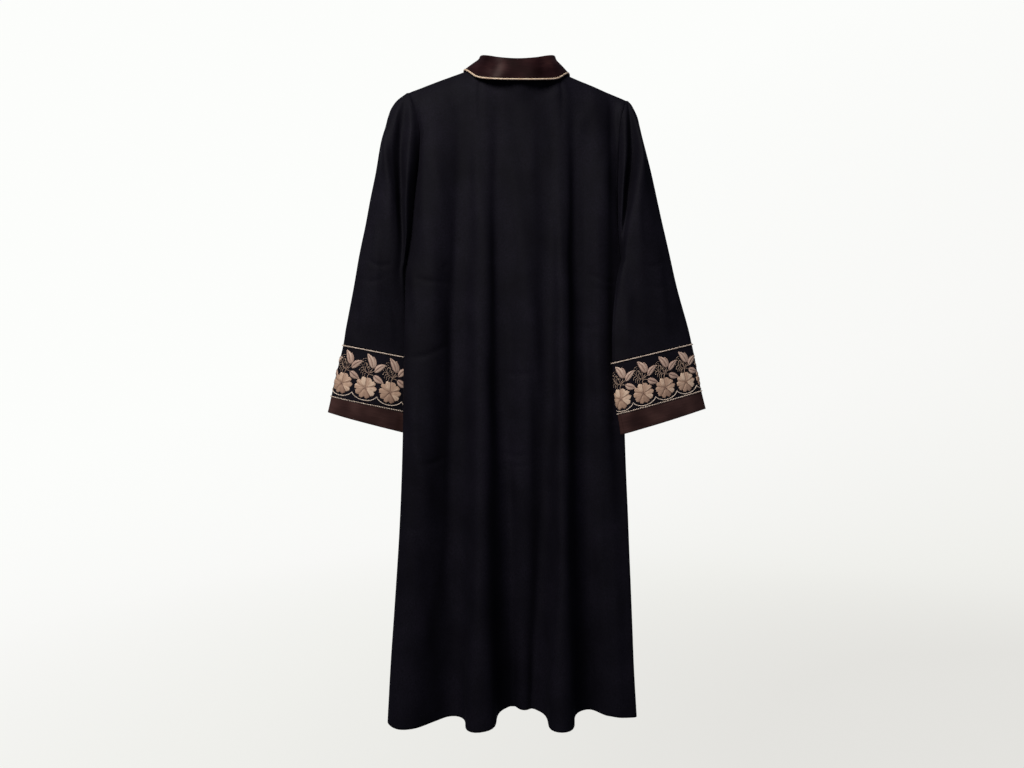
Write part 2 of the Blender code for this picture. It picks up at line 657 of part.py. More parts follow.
def cuff_ring(sleeve, cut, steps):
    """The closed ring of a sleeve in a slanted cut, given as two heights."""
    return ring_curve(sleeve_knots(sleeve, *cut), steps, True)


def sleeve_grid(sleeve, back_edge, front_edge):
    """Points of the sleeve from the shoulder tip to its band."""
    grid = []
    for back_point, front_point in zip(back_edge, front_edge):
        z = back_point[2]
        closed = len(grid) == len(back_edge) - 1
        knots = sleeve_knots(sleeve, z, z, back_point, front_point)
        if not grid:
            knots[:] = back_point
        grid.append(ring_curve(knots, SLEEVE_STEPS, closed))
    underarm = back_edge[-1][2]
    top = sleeve["band_top"]
    for share in SLEEVE_SHARES:
        cut = cut_heights((underarm, underarm), top, share)
        grid.append(cuff_ring(sleeve, cut, SLEEVE_STEPS))
    return np.array(grid)


def share_seams(back, front, sleeves, u):
    """Give the pieces that meet at a seam the same direction of wall there."""
    for sleeve, c, side in sleeves:
        for r in range(1, u):
            for panel, at in ((back, 0), (front, -1)):
                both = unit(panel.normal[r, c] + sleeve.normal[r, at])
                panel.normal[r, c] = sleeve.normal[r, at] = both
        for r in range(u + 1, back.rows):
            both = unit(back.normal[r, c] + front.normal[r, c])
            back.normal[r, c] = front.normal[r, c] = both
        # At the underarm both body and sleeve hang down from the seam.
        for sheet, at in ((back, c), (front, c)):
            sheet.normal[u, at] = unit(sheet.normal[u, at] * UNDERARM_LEAN + (0, 0, -1))
        for at in (0, -1):
            sleeve.normal[u, at] = (0, 0, -1)
        sleeve.normal[0, :] = shoulder_normal(back.grid[0, c, 0])


def open_seams(back, front, sleeves, u, necks):
    """Move the pieces' edges off their seams, to leave the seam gap between them."""
    half = SEAM_GAP / 2
    moved = []
    for sheet, facing, (a, b) in ((back, -1, necks[0]), (front, 1, necks[1])):
        last = sheet.columns - 1
        for c in range(sheet.columns):
            along = sheet.grid[0, min(c + 1, last)] - sheet.grid[0, max(c - 1, 0)]
            point = sheet.set_back((0, c), (1, c), along)
            if c in (0, a, b, last):
                side = math.copysign(1, sheet.grid[0, c, 0])
                outward = side if c in (a, b) else -side
                point = sheet.grid[0, c] + half * np.array((outward, facing, -outward * side))
            moved.append((sheet, (0, c), point))
        for c, beside, side in ((0, 1, -1), (-1, -2, 1)):
            for r in range(1, sheet.rows):
                along = sheet.grid[min(r + 1, sheet.rows - 1), c] - sheet.grid[r - 1, c]
                point = sheet.set_back((r, c), (r, beside), along)
                if r == u:
                    point = sheet.grid[r, c] + half * np.array((-side, facing * UNDERARM_APART, 0))
                moved.append((sheet, (r, c), point))
    for sheet, _, side in sleeves:
        for c, beside in ((0, 1), (-1, -2)):
            for r in range(1, u):
                along = sheet.grid[r + 1, c] - sheet.grid[r - 1, c]
                moved.append((sheet, (r, c), sheet.set_back((r, c), (r, beside), along)))
            moved.append((sheet, (u, c), sheet.grid[u, c] + SEAM_GAP * np.array((2 * side, 0, -1))))
    for sheet, where, point in moved:
        sheet.grid[where] = point
    for (sheet, _, _), sleeve in zip(sleeves, (LEFT_SLEEVE, RIGHT_SLEEVE)):
        flatten_end(sheet, -1, cut_across(sleeve["band_top"], sleeve), -1)
    for sheet, _, side in sleeves:
        sheet.grid[0, :] += half * np.array((2 * side, 0, -1))


def make_garment(finish):
    """The crepe pieces. Gives the number of neck columns of the back and the front."""
    back, back_a, back_b = body_grid(BACK_LINES, front=False)
    front, front_a, front_b = body_grid(FRONT_LINES, front=True)
    u = int(np.argmin(abs(back[:, 0, 2] - UNDERARM_Z)))
    back_sheet = Sheet(back)
    front_sheet = Sheet(front, facing_in=True)
    set_top_normals(back_sheet, back_a, back_b)
    set_top_normals(front_sheet, front_a, front_b)
    sleeves = []
    for sleeve, c, side in ((LEFT_SLEEVE, 0, -1), (RIGHT_SLEEVE, -1, 1)):
        grid = sleeve_grid(sleeve, back[: u + 1, c], front[: u + 1, c])
        sheet = Sheet(grid, facing_in=c == 0, one_top=True, closed_from=u)
        sleeves.append((sheet, c, side))
    share_seams(back_sheet, front_sheet, sleeves, u)
    necks = ((back_a, back_b), (front_a, front_b))
    open_seams(back_sheet, front_sheet, sleeves, u, necks)

    back_sheet.wall("back_panel", CLOTH, finish)
    names = [row[0] for row in FRONT_LINES]
    lap_left = (names.index("lap_left") + 1) * len(STEPS)
    lap_right = (names.index("lap_right") + 1) * len(STEPS)
    for name, start, end in (
        ("front_left", 0, lap_right),
        ("front_right", lap_left, front_sheet.columns - 1),
    ):
        part = Sheet(front_sheet.grid[:, start : end + 1], facing_in=True)
        part.normal = front_sheet.normal[:, start : end + 1]
        if name == "front_right":
            for c in range(part.columns):
                ease = max(0.0, 1 - c / (LAP_LINES * len(STEPS)))
                lift = LAP_LIFT * ease * ease * (3 - 2 * ease)
                part.grid[:, c] += part.normal[:, c] * lift
        part.wall(name, CLOTH, finish)
    for (sheet, _, _), name in zip(sleeves, ("sleeve_left", "sleeve_right")):
        sheet.wall(name, CLOTH, finish)
    return back_b - back_a + 1, front_b - front_a + 1


# ---- bands and cuffs ------------------------------------------------------
def tube_sheet(sleeve, start, end, steps, rows, facing_in):
    """Rings of a sleeve from the cut start to the cut end, a seam gap inside both."""
    grid = []
    for row in range(rows):
        cut = cut_heights(start, end, row / (rows - 1))
        grid.append(cuff_ring(sleeve, cut, steps))
    sheet = Sheet(np.array(grid), facing_in=facing_in, closed_from=0)
    for r, cut, way in ((0, start, 1), (-1, end, -1)):
        flatten_end(sheet, r, cut_across(cut, sleeve), way)
    return sheet


def cuff(name, sleeve, facing_in, finish):
    sheet = tube_sheet(
        sleeve, sleeve["band_end"], sleeve["cuff_end"], SLEEVE_STEPS, 3, facing_in
    )
    sheet.wall(name, CLOTH, finish)


def ring_cord(name, sleeve, cut, facing_in, finish):
    """A cord sewn round the sleeve over the cut, clear of the cloth by two seam gaps."""
    lower = (cut[0] - RING_STEP, cut[1] - RING_STEP)
    sheet = tube_sheet(sleeve, cut, lower, SLEEVE_STEPS, 2, facing_in)
    out = sheet.normal[0, :-1]
    down = cut_across(cut, sleeve)
    path = sheet.grid[0, :-1] - down * SEAM_GAP / 2
    chord = unit(np.roll(path, -1, 0) - path)
    square = unit(out - (out * chord).sum(1, keepdims=True) * chord)
    bend = np.maximum((out * square).sum(1, keepdims=True), LEAST_BEND)
    path = path + out * (CLOTH / 2 + SEAM_GAP * 2 + TRIM_CORD / 2) / bend
    tube(name, path, out, TRIM_CORD / 2, CORD_SIDES, finish, closed=True)


# ---- embroidered bands ----------------------------------------------------
def flower_outline():
    """Scalloped outline of the flower, with two lobes to each of its petals."""
    points = []
    for k in range(2 * FLOWER_LOBES):
        angle = math.pi * k / FLOWER_LOBES
        radius = FLOWER_RADIUS * (1 if k % 2 else FLOWER_NOTCH)
        points.append((radius * math.sin(angle), radius * math.cos(angle)))
    return points


def leaf_outline(base, tip, width, profile):
    """Pointed outline from base to tip. profile gives place and share of the width."""
    b, t = np.array(base, float), np.array(tip, float)
    side = np.array((b[1] - t[1], t[0] - b[0])) / np.linalg.norm(t - b) * width / 2
    near = [b + (t - b) * place + side * share for place, share in profile]
    far = [b + (t - b) * place - side * share for place, share in reversed(profile)]
    return [tuple(b), *map(tuple, near), tuple(t), *map(tuple, far)]


def motif_outlines():
    """Outlines of one repeat, in millimetres right of and below the flower's centre."""
    outlines = [flower_outline()]
    for _, base, tip, width, profile in BAND_MOTIFS:
        outlines.append(leaf_outline(base, tip, width, profile))
    return outlines


class BandSurface:
    """The middle surface of a band, reached by place round it and depth down it."""

    def __init__(self, sleeve, facing_in):
        fine = tube_sheet(
            sleeve, sleeve["band_top"], sleeve["band_end"], FINE_STEPS, BAND_RINGS, facing_in
        )
        self.points = fine.grid
        self.normals = fine.normal.copy()
        self.normals[:, -1] = self.normals[:, 0]
        middle = self.points[BAND_RINGS // 2]
        steps = np.linalg.norm(np.diff(middle, axis=0), axis=1)
        self.along = np.concatenate([[0], np.cumsum(steps)])
        self.round = self.along[-1]
        self.start = self.along[sleeve["layout_start"] * FINER] + sleeve["layout_shift"]
        columns = (self.along[:-1:FINER] - self.start) % self.round
        self.columns = [0.0, *sorted(columns.tolist()), self.round]
        turn = self.normals[BAND_RINGS // 2, :-1:FINER]
        turned = (turn * np.roll(turn, -1, 0)).sum(1) < LEAST_TURN
        sharp = turned | np.roll(turned, 1)
        self.folds = sorted(columns[sharp].tolist())
        self.down = np.linalg.norm(self.points[-1] - self.points[0], axis=1).mean()

    def at(self, along, down):
        """Point and direction of the wall at a place given in millimetres."""
        along = (along + self.start) % self.round
        column = np.interp(along, self.along, range(len(self.along)))
        row = min(max(down / self.down, 0), 1) * (BAND_RINGS - 1)
        r, c = min(int(row), BAND_RINGS - 2), min(int(column), len(self.along) - 2)
        u, v = column - c, row - r
        found = []
        for grid in (self.points, self.normals):
            upper = grid[r, c] * (1 - u) + grid[r, c + 1] * u
            lower = grid[r + 1, c] * (1 - u) + grid[r + 1, c + 1] * u
            found.append(upper * (1 - v) + lower * v)
        return found[0], unit(found[1])


def snapped(x, lines):
    """x, or the line that is so close that a sliver would lie between."""
    return next((line for line in lines if abs(line - x) < SNAP), x)


def clear_of(point, outlines, room):
    """Whether a point is outside all outlines, and at least room from their edges."""
    p = np.array(point)
    for outline in outlines:
        inside = False
        for a, b in zip(outline, outline[1:] + outline[:1]):
            a, b = np.array(a), np.array(b)
            share = min(max(np.dot(p - a, b - a) / np.dot(b - a, b - a), 0), 1)
            if np.linalg.norm(p - a - share * (b - a)) < room:
                return False
            if (a[1] > p[1]) != (b[1] > p[1]):
                if p[0] < a[0] + (p[1] - a[1]) / (b[1] - a[1]) * (b[0] - a[0]):
                    inside = not inside
        if inside:
            return False
    return True


def band(name, sleeve, facing_in, finish):
    """A closed wall round the sleeve: plain inside, motifs raised in its outer face."""
    surface = BandSurface(sleeve, facing_in)
    width, height = surface.round, surface.down
    mirror = -1 if facing_in else 1
    repeats = round(width / REPEAT_WIDTH)
    outlines = []
    pitch = width / repeats
    scale = pitch / MOTIF_PITCH
    for k in range(repeats):
        middle = (k + 0.5) * pitch + mirror * FLOWER_SHIFT
        level = height * sleeve["flower_level"]
        for outline in motif_outlines():
            placed = [(middle + mirror * x * scale, level + y * scale) for x, y in outline]
            if min(placed)[0] < 0 or max(placed)[0] > width:
                continue  # no leaf lies across the band's joint
            placed = [(snapped(x, surface.folds), y) for x, y in placed]
            # Each outline runs round its inside, which the triangulation takes as its left.
            outlines.append(placed[::-1] if mirror > 0 else placed)

    # The face is laid out flat: corner and edge points on the columns of the rings,
    # then the outlines, then loose points that let the ground follow the sleeve.
    columns = surface.columns
    flat = [(x, 0.0) for x in columns] + [(x, height) for x in reversed(columns)]
    rim = len(flat)
    edges = [(i, (i + 1) % rim) for i in range(rim)]
    # Lines down the sharp turns of the sleeve, so that the face turns where its back does.
    edges += [(i, rim - 1 - i) for i, x in enumerate(columns) if x in surface.folds]
    for x in (0.0, width):
        flat += [(x, height / 3), (x, height * 2 / 3)]
    shapes = []
    for outline in outlines:
        first = len(flat)
        flat += outline
        shapes.append(list(range(first, len(flat))))
    for x in columns[1:-1]:
        for share in GROUND_ROWS:
            if clear_of((x, height * share), outlines, GROUND_ROOM):
                flat.append((x, height * share))
    for outline in outlines:
        if len(outline) == 2 * FLOWER_LOBES:
            flat.append(tuple(np.mean(outline, axis=0)))
    placed, _, faces, origins, _, inside = delaunay_2d_cdt(
        [Vector(p) for p in flat], edges, shapes, 1, MERGE
    )
    points = [flat[o[0]] if o else (place.x, place.y) for o, place in zip(origins, placed)]
    return build_band(name, surface, points, faces, inside, finish)


def build_band(name, surface, points, faces, inside, finish):
    """Raise the faces that lie in a motif, and close the wall behind the face."""
    width, height = surface.round, surface.down
    out, solid_faces, number = [], [], {}

    def corner(p, lift):
        x = 0.0 if p[0] > width - MERGE else p[0]
        key = (round(x, 4), round(p[1], 4), lift)
        if key not in number:
            place, normal = surface.at(x, p[1])
            number[key] = len(out)
            out.append(place + normal * lift)
        return number[key]

    ground, top = CLOTH / 2, CLOTH / 2 + MOTIF_RELIEF
    edge_use = {}
    for face, shapes in zip(faces, inside):
        raised = len(shapes) > 0
        lift = top if raised else ground
        solid_faces.append(tuple(corner(points[i], lift) for i in face))
        if raised:
            for a, b in zip(face, (*face[1:], face[0])):
                edge_use[(a, b)] = True
    for a, b in edge_use:
        if (b, a) not in edge_use:
            low = [corner(points[i], ground) for i in (b, a)]
            high = [corner(points[i], top) for i in (a, b)]
            solid_faces.append((*low, *high))
    rows = (0.0, height / 2, height)
    for x0, x1 in zip(surface.columns, surface.columns[1:]):
        for y0, y1 in zip(rows, rows[1:]):
            ring = ((x0, y0), (x0, y1), (x1, y1), (x1, y0))
            solid_faces.append(tuple(corner(p, -ground) for p in ring))
        for y in (0.0, height):
            ring = (
                corner((x0, y), ground), corner((x1, y), ground),
                corner((x1, y), -ground), corner((x0, y), -ground),
            )
            solid_faces.append(ring)
    return solid(name, np.array(out), solid_faces, finish)


# ---- collar ---------------------------------------------------------------
def collar_places(back_count, front_count):
    """Places of the collar's columns, one at each neck column of the body panels."""
    back, back_places = neck_points(False, back_count)
    front, front_places = neck_points(True, front_count)
    half = front_count // 2
    points = [*front[half - 1 :: -1], *back[1:-1], *front[:half - 1 : -1]]
    places = [*front_places[half - 1 :: -1], *back_places[1:-1], *front_places[:half - 1 : -1]]
    return np.array(points), np.array(places)


def between(values):
    """The values with the mean of each two neighbours put between them."""
    doubled = np.repeat(np.asarray(values, float), 2, axis=0)[:-1]
    doubled[1::2] = (doubled[:-1:2] + doubled[2::2]) / 2
    return doubled


def make_collar(back_count, front_count, satin, cord):
    """The collar and its piping, from the counts of the panels' neck columns."""
    seam, places = collar_places(back_count, front_count)
    walls = unit(between([neck_wall(point) for point in seam]))
    seam, places = between(seam), between(places)
    fold, edge = (
        np.stack([np.interp(places, range(len(curve)), curve[:, k]) for k in range(3)], 1)
        for curve in (collar_curve(2), collar_curve(3))
    )
    columns = []
    for a, b, c in zip(seam, fold, edge):
        outward = unit((c - b) * (1, 1, 0))
        turn = b - unit(b - a) * FOLD_DROP
        column = [a, (a + turn) / 2, turn]
        for out, down, bulge, lift in LEAF_ROWS:
            way = (c - b) * (out, out, down)
            column.append(b + way + outward * FOLD_BULGE * bulge + np.array((0, 0, lift)))
        columns.append(column)
    rows = np.array(columns).transpose(1, 0, 2)
    sheet = Sheet(rows)
    if np.dot(sheet.normal[0, 0], walls[0]) < 0:
        sheet = Sheet(rows, facing_in=True)
    sheet.normal[0] = walls
    # At the fold the two sides face each other, so their mean would lean to the longer one.
    sheet.normal[3] = unit((sheet.grid[2] + sheet.grid[4]) / 2 - sheet.grid[3])
    last = sheet.columns - 1
    moved = []
    for c in range(sheet.columns):
        along = seam[min(c + 1, last)] - seam[max(c - 1, 0)]
        moved.append(sheet.set_back((0, c), (1, c), along, SEAM_GAP))
    sheet.grid[0] = moved
    sheet.wall("collar", SATIN, satin)
    away = unit(sheet.grid[-1] - sheet.grid[-2])
    path = sheet.grid[-1] + away * (SEAM_GAP * 1.3 + PIPING / 2)
    tube("collar_piping", path, sheet.normal[-1], PIPING / 2, CORD_SIDES, cord, closed=False)


# ---- start ----------------------------------------------------------------
def clear_scene():
    for thing in list(bpy.data.objects):
        bpy.data.objects.remove(thing)


def main():
    clear_scene()
    crepe = material("black crepe", (0.010, 0.010, 0.012), 0.75)
    ground = material("embroidered band", (0.012, 0.010, 0.010), 0.8)
    satin = material("brown satin", (0.035, 0.018, 0.016), 0.45)
    cord = material("gold cord", (0.45, 0.33, 0.20), 0.5)
    back_count, front_count = make_garment(crepe)
    make_collar(back_count, front_count, satin, cord)
    for side, sleeve, facing_in in (("left", LEFT_SLEEVE, True), ("right", RIGHT_SLEEVE, False)):
        band("band_" + side, sleeve, facing_in, ground)
        cuff("cuff_" + side, sleeve, facing_in, satin)
        ring_cord("band_cord_" + side, sleeve, sleeve["band_top"], facing_in, cord)
        ring_cord("cuff_cord_" + side, sleeve, sleeve["band_end"], facing_in, cord)


main()
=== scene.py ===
"""Looks of a full-length abaya cloak that hangs empty, with its back towards -Y.

Tables and helpers work in millimetres, and a depth is how far a point stands out
towards the back (-Y). Meshes are made in metres.
"""

import json
import math

import bpy
import numpy as np
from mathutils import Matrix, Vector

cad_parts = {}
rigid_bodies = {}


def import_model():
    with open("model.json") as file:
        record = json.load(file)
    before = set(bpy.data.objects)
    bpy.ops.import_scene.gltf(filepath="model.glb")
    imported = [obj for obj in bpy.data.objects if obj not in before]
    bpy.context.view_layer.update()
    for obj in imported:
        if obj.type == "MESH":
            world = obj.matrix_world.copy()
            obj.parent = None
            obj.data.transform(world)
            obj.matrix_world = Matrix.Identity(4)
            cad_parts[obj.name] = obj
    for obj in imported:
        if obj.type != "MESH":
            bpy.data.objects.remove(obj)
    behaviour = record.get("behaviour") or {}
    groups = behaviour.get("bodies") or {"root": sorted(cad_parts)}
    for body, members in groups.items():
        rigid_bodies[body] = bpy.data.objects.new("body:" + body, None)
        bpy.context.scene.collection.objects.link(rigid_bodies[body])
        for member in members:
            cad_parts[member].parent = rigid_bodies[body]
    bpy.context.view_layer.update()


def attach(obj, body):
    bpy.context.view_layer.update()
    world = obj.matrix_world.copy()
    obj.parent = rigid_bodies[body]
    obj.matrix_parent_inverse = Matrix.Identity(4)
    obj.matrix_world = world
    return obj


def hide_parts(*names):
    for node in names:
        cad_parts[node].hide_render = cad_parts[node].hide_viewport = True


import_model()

MM = 0.001
SLIGHT = 1e-6  # keeps directions carried along a path from lengthening it

# ---- cloth and trim -------------------------------------------------------
CREPE = 0.9  # thickness of the hanging crepe
SATIN = 1.4  # thickness of the interlined satin collar
LAP_LIFT = 2.6  # the right front lies this far outside the left at the centre
LAP_REACH = 4  # fold lines over which it settles to its seam
FACE_TURN, FACE_BLEND = 0.6, 0.04  # where a sleeve's back turns to its front, and how fast
SEAM_DIP, SEAM_WIDTH = 0.4, 3.0  # how deep and how far a seam pulls the cloth in
PIPING, PIPING_BITE = 3.4, 0.2  # its thickness, and how far it bites on the leaf's edge

# ---- body -----------------------------------------------------------------
LEVELS = dict(
    yoke=-75, blade=-256, underarm=-382, waist=-480, cuff=-660, knee=-984, hem=-1296
)
# One row for each fold line, left to right: x where it meets the top edge, x at each
# level, depth at each level, height of the hem there.
BACK_LINES = (
    ("left_crest", -170, (-176, -172, -172, -174, -180, -198, -213),
     (30, 36, 38, 40, 42, 44, 45), -1304),
    ("trough_1", -108, (-107, -113, -116, -118, -120, -123, -125),
     (30, 23, 18, 15, 10, 5, 0), -1295),
    ("flute_1", -73, (-75, -71, -71, -71, -71, -71, -73),
     (35, 38, 41, 43, 46, 58, 75), -1298),
    ("trough_2", -36, (-37, -33, -32, -31, -30, -26, -22),
     (37, 31, 26, 22, 14, 2, -10), -1282),
    ("middle", 0, (6, 14, 17, 18, 18, 14, 10),
     (38, 38, 38, 37, 33, 16, -4), -1284),
    ("trough_3", 36, (50, 57, 58, 59, 59, 53, 40),
     (36, 32, 29, 27, 22, 8, 0), -1284),
    ("flute_2", 73, (86, 90, 91, 92, 91, 89, 85),
     (33, 37, 40, 42, 46, 58, 75), -1298),
    ("trough_4", 116, (118, 121, 123, 125, 126, 127, 131),
     (30, 20, 14, 10, 6, 0, -8), -1286),
    ("right_crest", 160, (164, 164, 164, 166, 168, 172, 182),
     (28, 28, 24, 20, 16, 12, 14), -1290),
    ("right_lay", 190, (190, 188, 193, 194, 196, 206, 216),
     (14, 14, 5, 1, -1, 10, 16), -1292),
)
FRONT_LINES = (
    ("left_tuck", -176, (-185, -190, -200, -202, -200, -205, -222),
     (-14, -14, -2, 4, 10, 0, -14), -1300),
    ("left_ridge", -142, (-150, -150, -158, -160, -160, -168, -182),
     (-24, -30, -32, -33, -34, -46, -62), -1298),
    ("left_dip", -106, (-110, -108, -110, -112, -114, -120, -130),
     (-27, -28, -27, -26, -26, -30, -34), -1290),
    ("left_fold", -73, (-72, -68, -68, -68, -70, -76, -84),
     (-29, -33, -36, -38, -42, -56, -74), -1298),
    ("left_rest", -38, (-38, -36, -34, -34, -34, -36, -38),
     (-30, -31, -32, -33, -34, -36, -40), -1290),
    ("lap_left", -16, (-16, -16, -16, -16, -16, -16, -16),
     (-31, -31, -32, -33, -34, -36, -40), -1290),
    ("lap_right", 16, (16, 16, 16, 16, 16, 16, 16),
     (-31, -31, -32, -33, -34, -36, -40), -1290),
    ("right_rest", 38, (40, 40, 40, 40, 40, 42, 44),
     (-30, -31, -32, -33, -34, -36, -38), -1290),
    ("right_fold", 73, (78, 80, 82, 84, 86, 90, 96),
     (-29, -34, -37, -39, -43, -56, -72), -1297),
    ("right_dip", 112, (118, 120, 124, 126, 128, 132, 138),
     (-27, -28, -28, -28, -28, -30, -34), -1290),
    ("right_ridge", 150, (158, 158, 162, 166, 170, 176, 186),
     (-24, -29, -32, -34, -36, -46, -58), -1295),
)
# Side edges: height, x, depth of the back's edge, depth of the front's edge.
LEFT_EDGE = (
    (-43, -218, 0, 0), (-50, -215.5, 10, -9), (-62, -211, 16, -14),
    (-80, -205, 20, -17), (-125, -195, 17, -15), (-160, -196, 12, -12),
    (-256, -206, 8, -8), (-337, -214, 8, -2),
    (-382, -222, 6, 6), (-400, -224, 8, 8), (-430, -225, 10, 10), (-460, -225, 12, 12),
    (-600, -227, 20, 20),
    (-725, -228, 22, 22), (-903, -234, 22, 22), (-1065, -244, 22, 22),
    (-1180, -252, 21, 21), (-1307, -259, 20, 20),
)
RIGHT_EDGE = (
    (-59, 217, 0, 0), (-66, 215, 9, -9), (-77, 211.8, 15, -13),
    (-92, 207.5, 18, -16), (-125, 203, 16, -14), (-160, 202, 11, -11),
    (-256, 200, 5, -10), (-337, 203, 1, -7),
    (-382, 208, -2, -2), (-480, 211, -7, -7), (-600, 214, -10, -10),
    (-725, 216, -9, -9), (-903, 222, -3, -3), (-1065, 228, 1, 1),
    (-1200, 233, 4, 4), (-1307, 239, 5, 5),
)
LEFT_HEM, RIGHT_HEM = -1298, -1293
UNDERARM_Z = -382.0
BLADE_Z, LAST_Z = -256.0, -1150.0
NECK_POINT_X, NECK_POINT_Z = 73, 3  # where the shoulder seam meets the neck seam
LEFT_SHOULDER = ((-105, -1.5), (-218, -43))
RIGHT_SHOULDER = ((105, -12), (217, -59))
SHOULDER_ROUND = 62.0  # drop over which the cloth rounds over from a shoulder seam
ROUNDNESS = 1.45  # how full the folds are between their lines
# How steeply the cloth leaves a side edge towards its own face: at least so many
# millimetres, once so far below the underarm, or this many times the step in depth to
# the fold beside it. Then the share of the way across, above and below.
SIDE_SWING, SWING_START, SIDE_DEPTH = 30.0, 150.0, 1.3
SIDE_REACH = (0.8, 0.15)
ROWS = dict(top=62, upper=28, lower=170, hem=34, sleeve=44)  # rows of each stretch
COLUMN_STEPS = 12  # columns between two fold lines
# The back's two organ-pipe flutes, and the heights between which their flat crests and
# steep sides set in.
FLUTES = ("flute_1", "flute_2")
FLUTE_START, FLUTE_FULL = -984.0, -1296.0
FLUTE_TIGHT = 0.88  # how closely the columns draw in to a flute's two sides
FLUTE_BROAD = 0.08  # how far those sides stand out from halfway to the next trough

# ---- collar ---------------------------------------------------------------
# Stations of the right half, centre back to centre front: neck seam, fold and leaf
# edge, each as x, depth, z.
COLLAR_STATIONS = (
    ("centre_back", (0, 46, -24), (0, 52, 5), (0, 56, -34), 0),
    ("back", (30, 42, -20), (32, 49, 8), (42, 55, -33), 0.1),
    ("back_side", (54, 28, -10), (54, 34, 17), (77, 42, -25), 0.35),
    ("side_back", (68, 12, 0), (65, 14, 25), (97, 20, -6), 0.6),
    ("side", (73, 0, 3), (68, 0, 27), (106, 0, 2.5), 1),
    ("side_front", (70, -14, -4), (65, -17, 18), (104, -22, -11), 0.8),
    ("front_side", (54, -28, -34), (52, -33, -12), (93, -40, -52), 0.4),
    ("front", (31, -31, -60), (31, -36, -38), (68, -44, -90), 0.1),
    ("centre_front", (5, -31, -73), (7, -37, -52), (38, -43, -116), 0),
)
RIGHT_SAG = (-4, 0, -8)  # how far in and down the leaf lies lower on the right shoulder
# How far below the fold the stand is straight, and how far the leaf bulges beside it.
FOLD_DROP, FOLD_BULGE = 5.0, 2.0
# Soft rolls and dents of the leaf at the back: x, width, height.
COLLAR_ROLLS = ((-57, 12, 1.1), (-28, 15, -0.9), (6, 16, 0.2), (34, 13, -0.3), (50, 9, 0.9))
LEAF_START = 20  # row of the collar, at the fold, from which its leaf can roll
# Leaf rows: share out, share down, share of the bulge, lift above the straight line.
LEAF_ROWS = ((0.18, 0, 0, 0.75), (0.24, 0.24, 1, 0), (0.62, 0.62, 0.7, 0), (1, 1, 0, 0))

# ---- sleeves --------------------------------------------------------------
# Each line of a sleeve runs down it at a share of the way from its inner to its outer
# edge, with a depth, both at these heights. Above the cap's start it rounds over.
SLEEVE_LEVELS = (-60, -118, -256, -382, -480, -580, -720)
CAP_START, CAP_END = -155.0, -256.0
LEFT_SLEEVE = dict(
    outer=((-43, -219), (-58, -241), (-75, -254), (-91, -260), (-115, -265),
           (-155, -275), (-256, -295), (-357, -315), (-438, -331), (-550, -351),
           (-620, -368), (-685, -382)),
    inner=((-382, -222, 6), (-400, -225.2, 0), (-430, -223.5, -5), (-480, -217, -8),
           (-580, -209, -10), (-650, -209, -9), (-727, -218, -7)),
    lines=(
        ("seam_ridge", (0.15, 0.22, 0.16, 0.04, 0.06, 0.08, 0.08), (22, 27, 31, 18, 2, 0, 0)),
        ("groove", (0.35, 0.48, 0.31, 0.11, 0.16, 0.20, 0.20), (22, 17, 9, 16, 9, 6, 5)),
        ("inner_ridge", (0.60, 0.70, 0.42, 0.24, 0.32, 0.36, 0.36),
         (26, 26, 24, 24, 16, 12, 11)),
        ("outer_ridge", (0.85, 0.92, 0.55, 0.45, 0.52, 0.56, 0.56),
         (20, 24, 30, 26, 20, 15, 13)),
        ("flank", (0.95, 0.97, 0.80, 0.75, 0.78, 0.80, 0.80), (12, 12, 20, 20, 17, 13, 11)),
        ("outer_edge", (1, 1, 1, 1, 1, 1, 1), (0, 0, 0, -2, -4, -6, -6)),
        ("front_outer", (0.90, 0.90, 0.80, 0.75, 0.75, 0.78, 0.78),
         (-14, -16, -22, -26, -26, -22, -20)),
        ("front_middle", (0.60, 0.60, 0.50, 0.45, 0.48, 0.50, 0.50),
         (-20, -26, -28, -26, -30, -28, -25)),
        ("front_inner", (0.30, 0.30, 0.25, 0.15, 0.20, 0.22, 0.22),
         (-16, -20, -22, -14, -24, -25, -22)),
    ),
    band_top=(-550, -578), band_end=(-653, -687), cuff_end=(-685, -729),
    layout_start=25 / 3, layout_shift=-2.5, flower_level=0.7,
)
